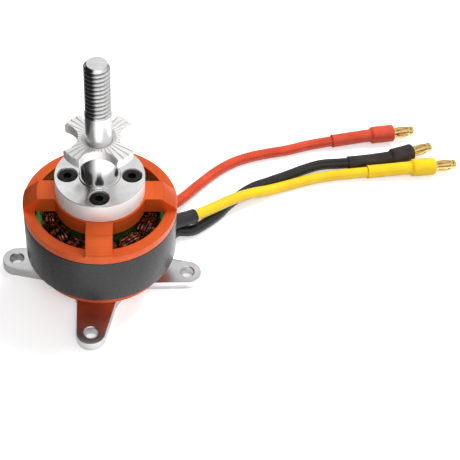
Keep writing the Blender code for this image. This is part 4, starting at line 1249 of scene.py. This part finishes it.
def make_bearing(place):
    for kind, face in (("outer", OUTER_RACE), ("inner", INNER_RACE)):
        node = f"{place}_bearing_{kind}_ring"
        back = radius_of(node) if kind == "outer" else BELL_BORE
        rows = race_outline(face, back, *heights(node))
        dress(swept(rows, AXIS, ROUND, True), node, STEEL)
    node = f"{place}_bearing_balls"
    middle = sum(heights(node)) / 2
    inner, outer = BALL_CIRCLE - BALL_CAGE_HALF_SHEET, BALL_CIRCLE + BALL_CAGE_HALF_SHEET
    sheet = ring_outline(inner, outer, middle - BALL_CAGE_HALF, middle + BALL_CAGE_HALF)
    pieces = [turned(sheet, 0.1 * MM)]
    for i in range(BALLS):
        rows = [(middle - BALL_RADIUS, 0.0)]
        for k in range(1, 16):
            angle = math.pi * k / 16
            rows.append((middle - BALL_RADIUS * math.cos(angle), BALL_RADIUS * math.sin(angle)))
        rows.append((middle + BALL_RADIUS, 0.0))
        pieces.append(placed(swept(rows, AXIS, 24), polar(BALL_CIRCLE, 360.0 * i / BALLS)))
    dress(joined(pieces), node, STEEL)


CLIP_GROOVE = 2.4 * MM
CLIP_PLAY = 0.05 * MM
CLIP_RADII = (2.45 * MM, 4.6 * MM)
CLIP_MOUTH_HALF = (1.7 * MM, 2.2 * MM)


def make_shaft():
    bottom, top = heights("rotor_shaft")
    radius = radius_of("rotor_shaft")
    clip_bottom, clip_top = heights("retaining_clip")
    first, last = clip_bottom - CLIP_PLAY, clip_top + CLIP_PLAY
    outline = [
        (bottom, 0.0), (bottom, radius), (first, radius), (first, CLIP_GROOVE),
        (last, CLIP_GROOVE), (last, radius), (top, radius), (top, 0.0),
    ]
    dress(turned(outline, 0.3 * MM), "rotor_shaft", STEEL)
    node = "thrust_washer"
    washer = ring_outline(BELL_BORE, radius_of(node), *heights(node))
    dress(turned(washer, 0.12 * MM), node, STEEL)
    clip = turned(ring_outline(*CLIP_RADII, clip_bottom, clip_top), 0.1 * MM)
    near, far = CLIP_MOUTH_HALF
    mouth = [(MM, -near), (PAST, -far), (PAST, far), (MM, near)]
    cut(clip, prism(mouth, 0.0, PAST))
    dress(clip, "retaining_clip", BLACK_OXIDE)


# --- Room ---

VIEW_AZIMUTH = math.radians(-1.3)
VIEW_ELEVATION = math.radians(46.94)
VIEW_DISTANCE = 387.65 * MM
VIEW_TARGET = Vector((43.09 * MM, 10.48 * MM, 15.0 * MM))
VIEW_ROLL = math.radians(5.46)
LENS = 87.81
NEAREST, FARTHEST = 0.01, 20.0


def make_camera():
    flat = math.cos(VIEW_ELEVATION)
    back = Vector((math.sin(VIEW_AZIMUTH) * flat, -math.cos(VIEW_AZIMUTH) * flat,
                   math.sin(VIEW_ELEVATION)))
    across = Vector((0.0, 0.0, 1.0)).cross(back).normalized()
    up = back.cross(across)
    cos, sin = math.cos(VIEW_ROLL), math.sin(VIEW_ROLL)
    right, over = cos * across + sin * up, cos * up - sin * across
    data = bpy.data.cameras.new("camera")
    data.lens = LENS
    data.clip_start, data.clip_end = NEAREST, FARTHEST
    camera = bpy.data.objects.new("camera", data)
    bpy.context.scene.collection.objects.link(camera)
    camera.matrix_world = Matrix.Translation(VIEW_TARGET + VIEW_DISTANCE * back) @ Matrix(
        (right, over, back)
    ).transposed().to_4x4()
    bpy.context.scene.camera = camera


FLOOR_TONE = 0.9
FLOOR_DROP = 0.02 * MM
FLOOR_GLOW = 0.32
# What polished metal sees of the floor: dark on the left, pale on the right.
FLOOR_DARK_SIDE = -0.07
FLOOR_PALE_SIDE = -0.01
FLOOR_IN_MIRRORS = (0.03, 0.95)
FLOOR_BOUNCE = (0.6, 0.6, 0.6)
FLOOR_HALF_SIZE = 3.0


def make_floor():
    bm = bmesh.new()
    bmesh.ops.create_grid(bm, x_segments=1, y_segments=1, size=FLOOR_HALF_SIZE)
    bmesh.ops.translate(bm, verts=bm.verts, vec=(0.0, 0.0, -FLOOR_DROP))
    floor = add_mesh(bm)
    floor.name = "floor"
    made = Finish("floor_paper", Roughness=0.75, Specular_IOR_Level=0.2)
    ray = made.node("LightPath").outputs
    grain = made.patchy(8.0, 2.0, (0.3, FLOOR_TONE - 0.01), (0.7, FLOOR_TONE + 0.01))
    across = made.parts(made.place)["X"]
    mirrored = made.ranged(across, FLOOR_DARK_SIDE, FLOOR_PALE_SIDE, *FLOOR_IN_MIRRORS)
    bounce = made.mix(ray["Is Glossy Ray"], FLOOR_BOUNCE, mirrored)
    made.set(Base_Color=made.mix(ray["Is Camera Ray"], bounce, grain))
    glow = made.calc("MULTIPLY", ray["Is Camera Ray"], FLOOR_GLOW)
    made.set(Emission_Color=(1.0, 1.0, 1.0), Emission_Strength=glow)
    floor.data.materials.append(made.material)


def add_light(name, place, size, power):
    """A soft light aimed at the motor. Polished metal doesn't mirror it."""
    data = bpy.data.lights.new(name, "AREA")
    data.shape = "RECTANGLE"
    data.size, data.size_y = size
    data.energy = power
    lamp = bpy.data.objects.new(name, data)
    lamp.location = place
    lamp.rotation_mode = "QUATERNION"
    lamp.rotation_quaternion = (Vector(place) - VIEW_TARGET).to_track_quat("Z", "Y")
    lamp.visible_glossy = False
    bpy.context.scene.collection.objects.link(lamp)


SKY_BY_HEIGHT = [(0.0, 0.25), (0.25, 0.45), (0.55, 0.85), (0.74, 1.05), (0.9, 0.7), (1.0, 0.5)]
SKY_STRENGTH = 0.85
SKY_DARKEST = 0.02
SKY_SEEN = (1.2, 1.2, 1.2)
# (direction, widest cosine, narrowest cosine, brightness added)
SKY_CARDS = [
    ((0.3, -0.62, 0.74), 0.86, 0.95, 0.3),
    ((-0.82, -0.15, 0.5), 0.66, 0.86, -1.1),
    ((0.1, -0.2, 1.0), 0.96, 0.985, -0.3),
]
# (place, width and depth, power)
LIGHTS = {
    "key": ((0.35, 0.4, 0.75), (0.4, 0.35), 7.5),
    "front": ((0.15, -0.6, 0.75), (0.5, 0.3), 3.5),
}


def make_room():
    """Pale surroundings with a bright card in front and dark ones for the metal to mirror."""
    world = bpy.data.worlds.new("studio")
    bpy.context.scene.world = world
    sky = Nodes(world, "Generated")
    light = sky.ramp(sky.parts(sky.place)["Z"], *SKY_BY_HEIGHT)
    for direction, wide, narrow, gain in SKY_CARDS:
        inputs = {0: sky.place, 1: Vector(direction).normalized()}
        dot = sky.node("VectorMath", inputs, operation="DOT_PRODUCT").outputs["Value"]
        card = sky.ranged(dot, wide, narrow, 0.0, gain, interpolation_type="SMOOTHSTEP")
        light = sky.calc("ADD", light, card)
    light = sky.calc("MAXIMUM", light, SKY_DARKEST)
    seen = sky.node("LightPath").outputs["Is Camera Ray"]
    backdrop = sky.tree.nodes["Background"].inputs
    sky.feed(backdrop["Color"], sky.mix(seen, light, SKY_SEEN))
    sky.feed(backdrop["Strength"], SKY_STRENGTH)
    for name, (place, size, power) in LIGHTS.items():
        add_light(name, place, size, power)


# --- All of it ---


make_bell()
make_adapter()
make_adapter_screws()
make_drive_washer()
make_can()
make_magnets()
make_core()
for phase, wire_circle in JUMPERS.items():
    make_winding(phase, wire_circle)
PATHS = {colour: make_lead(colour, lead) for colour, lead in LEADS.items()}
make_exit_sleeve(PATHS["yellow"])
make_mount()
make_mount_screws()
make_base()
for place in ("front", "rear"):
    make_bearing(place)
make_shaft()
make_floor()
make_room()
make_camera()
bpy.context.scene.view_settings.view_transform = "Standard"
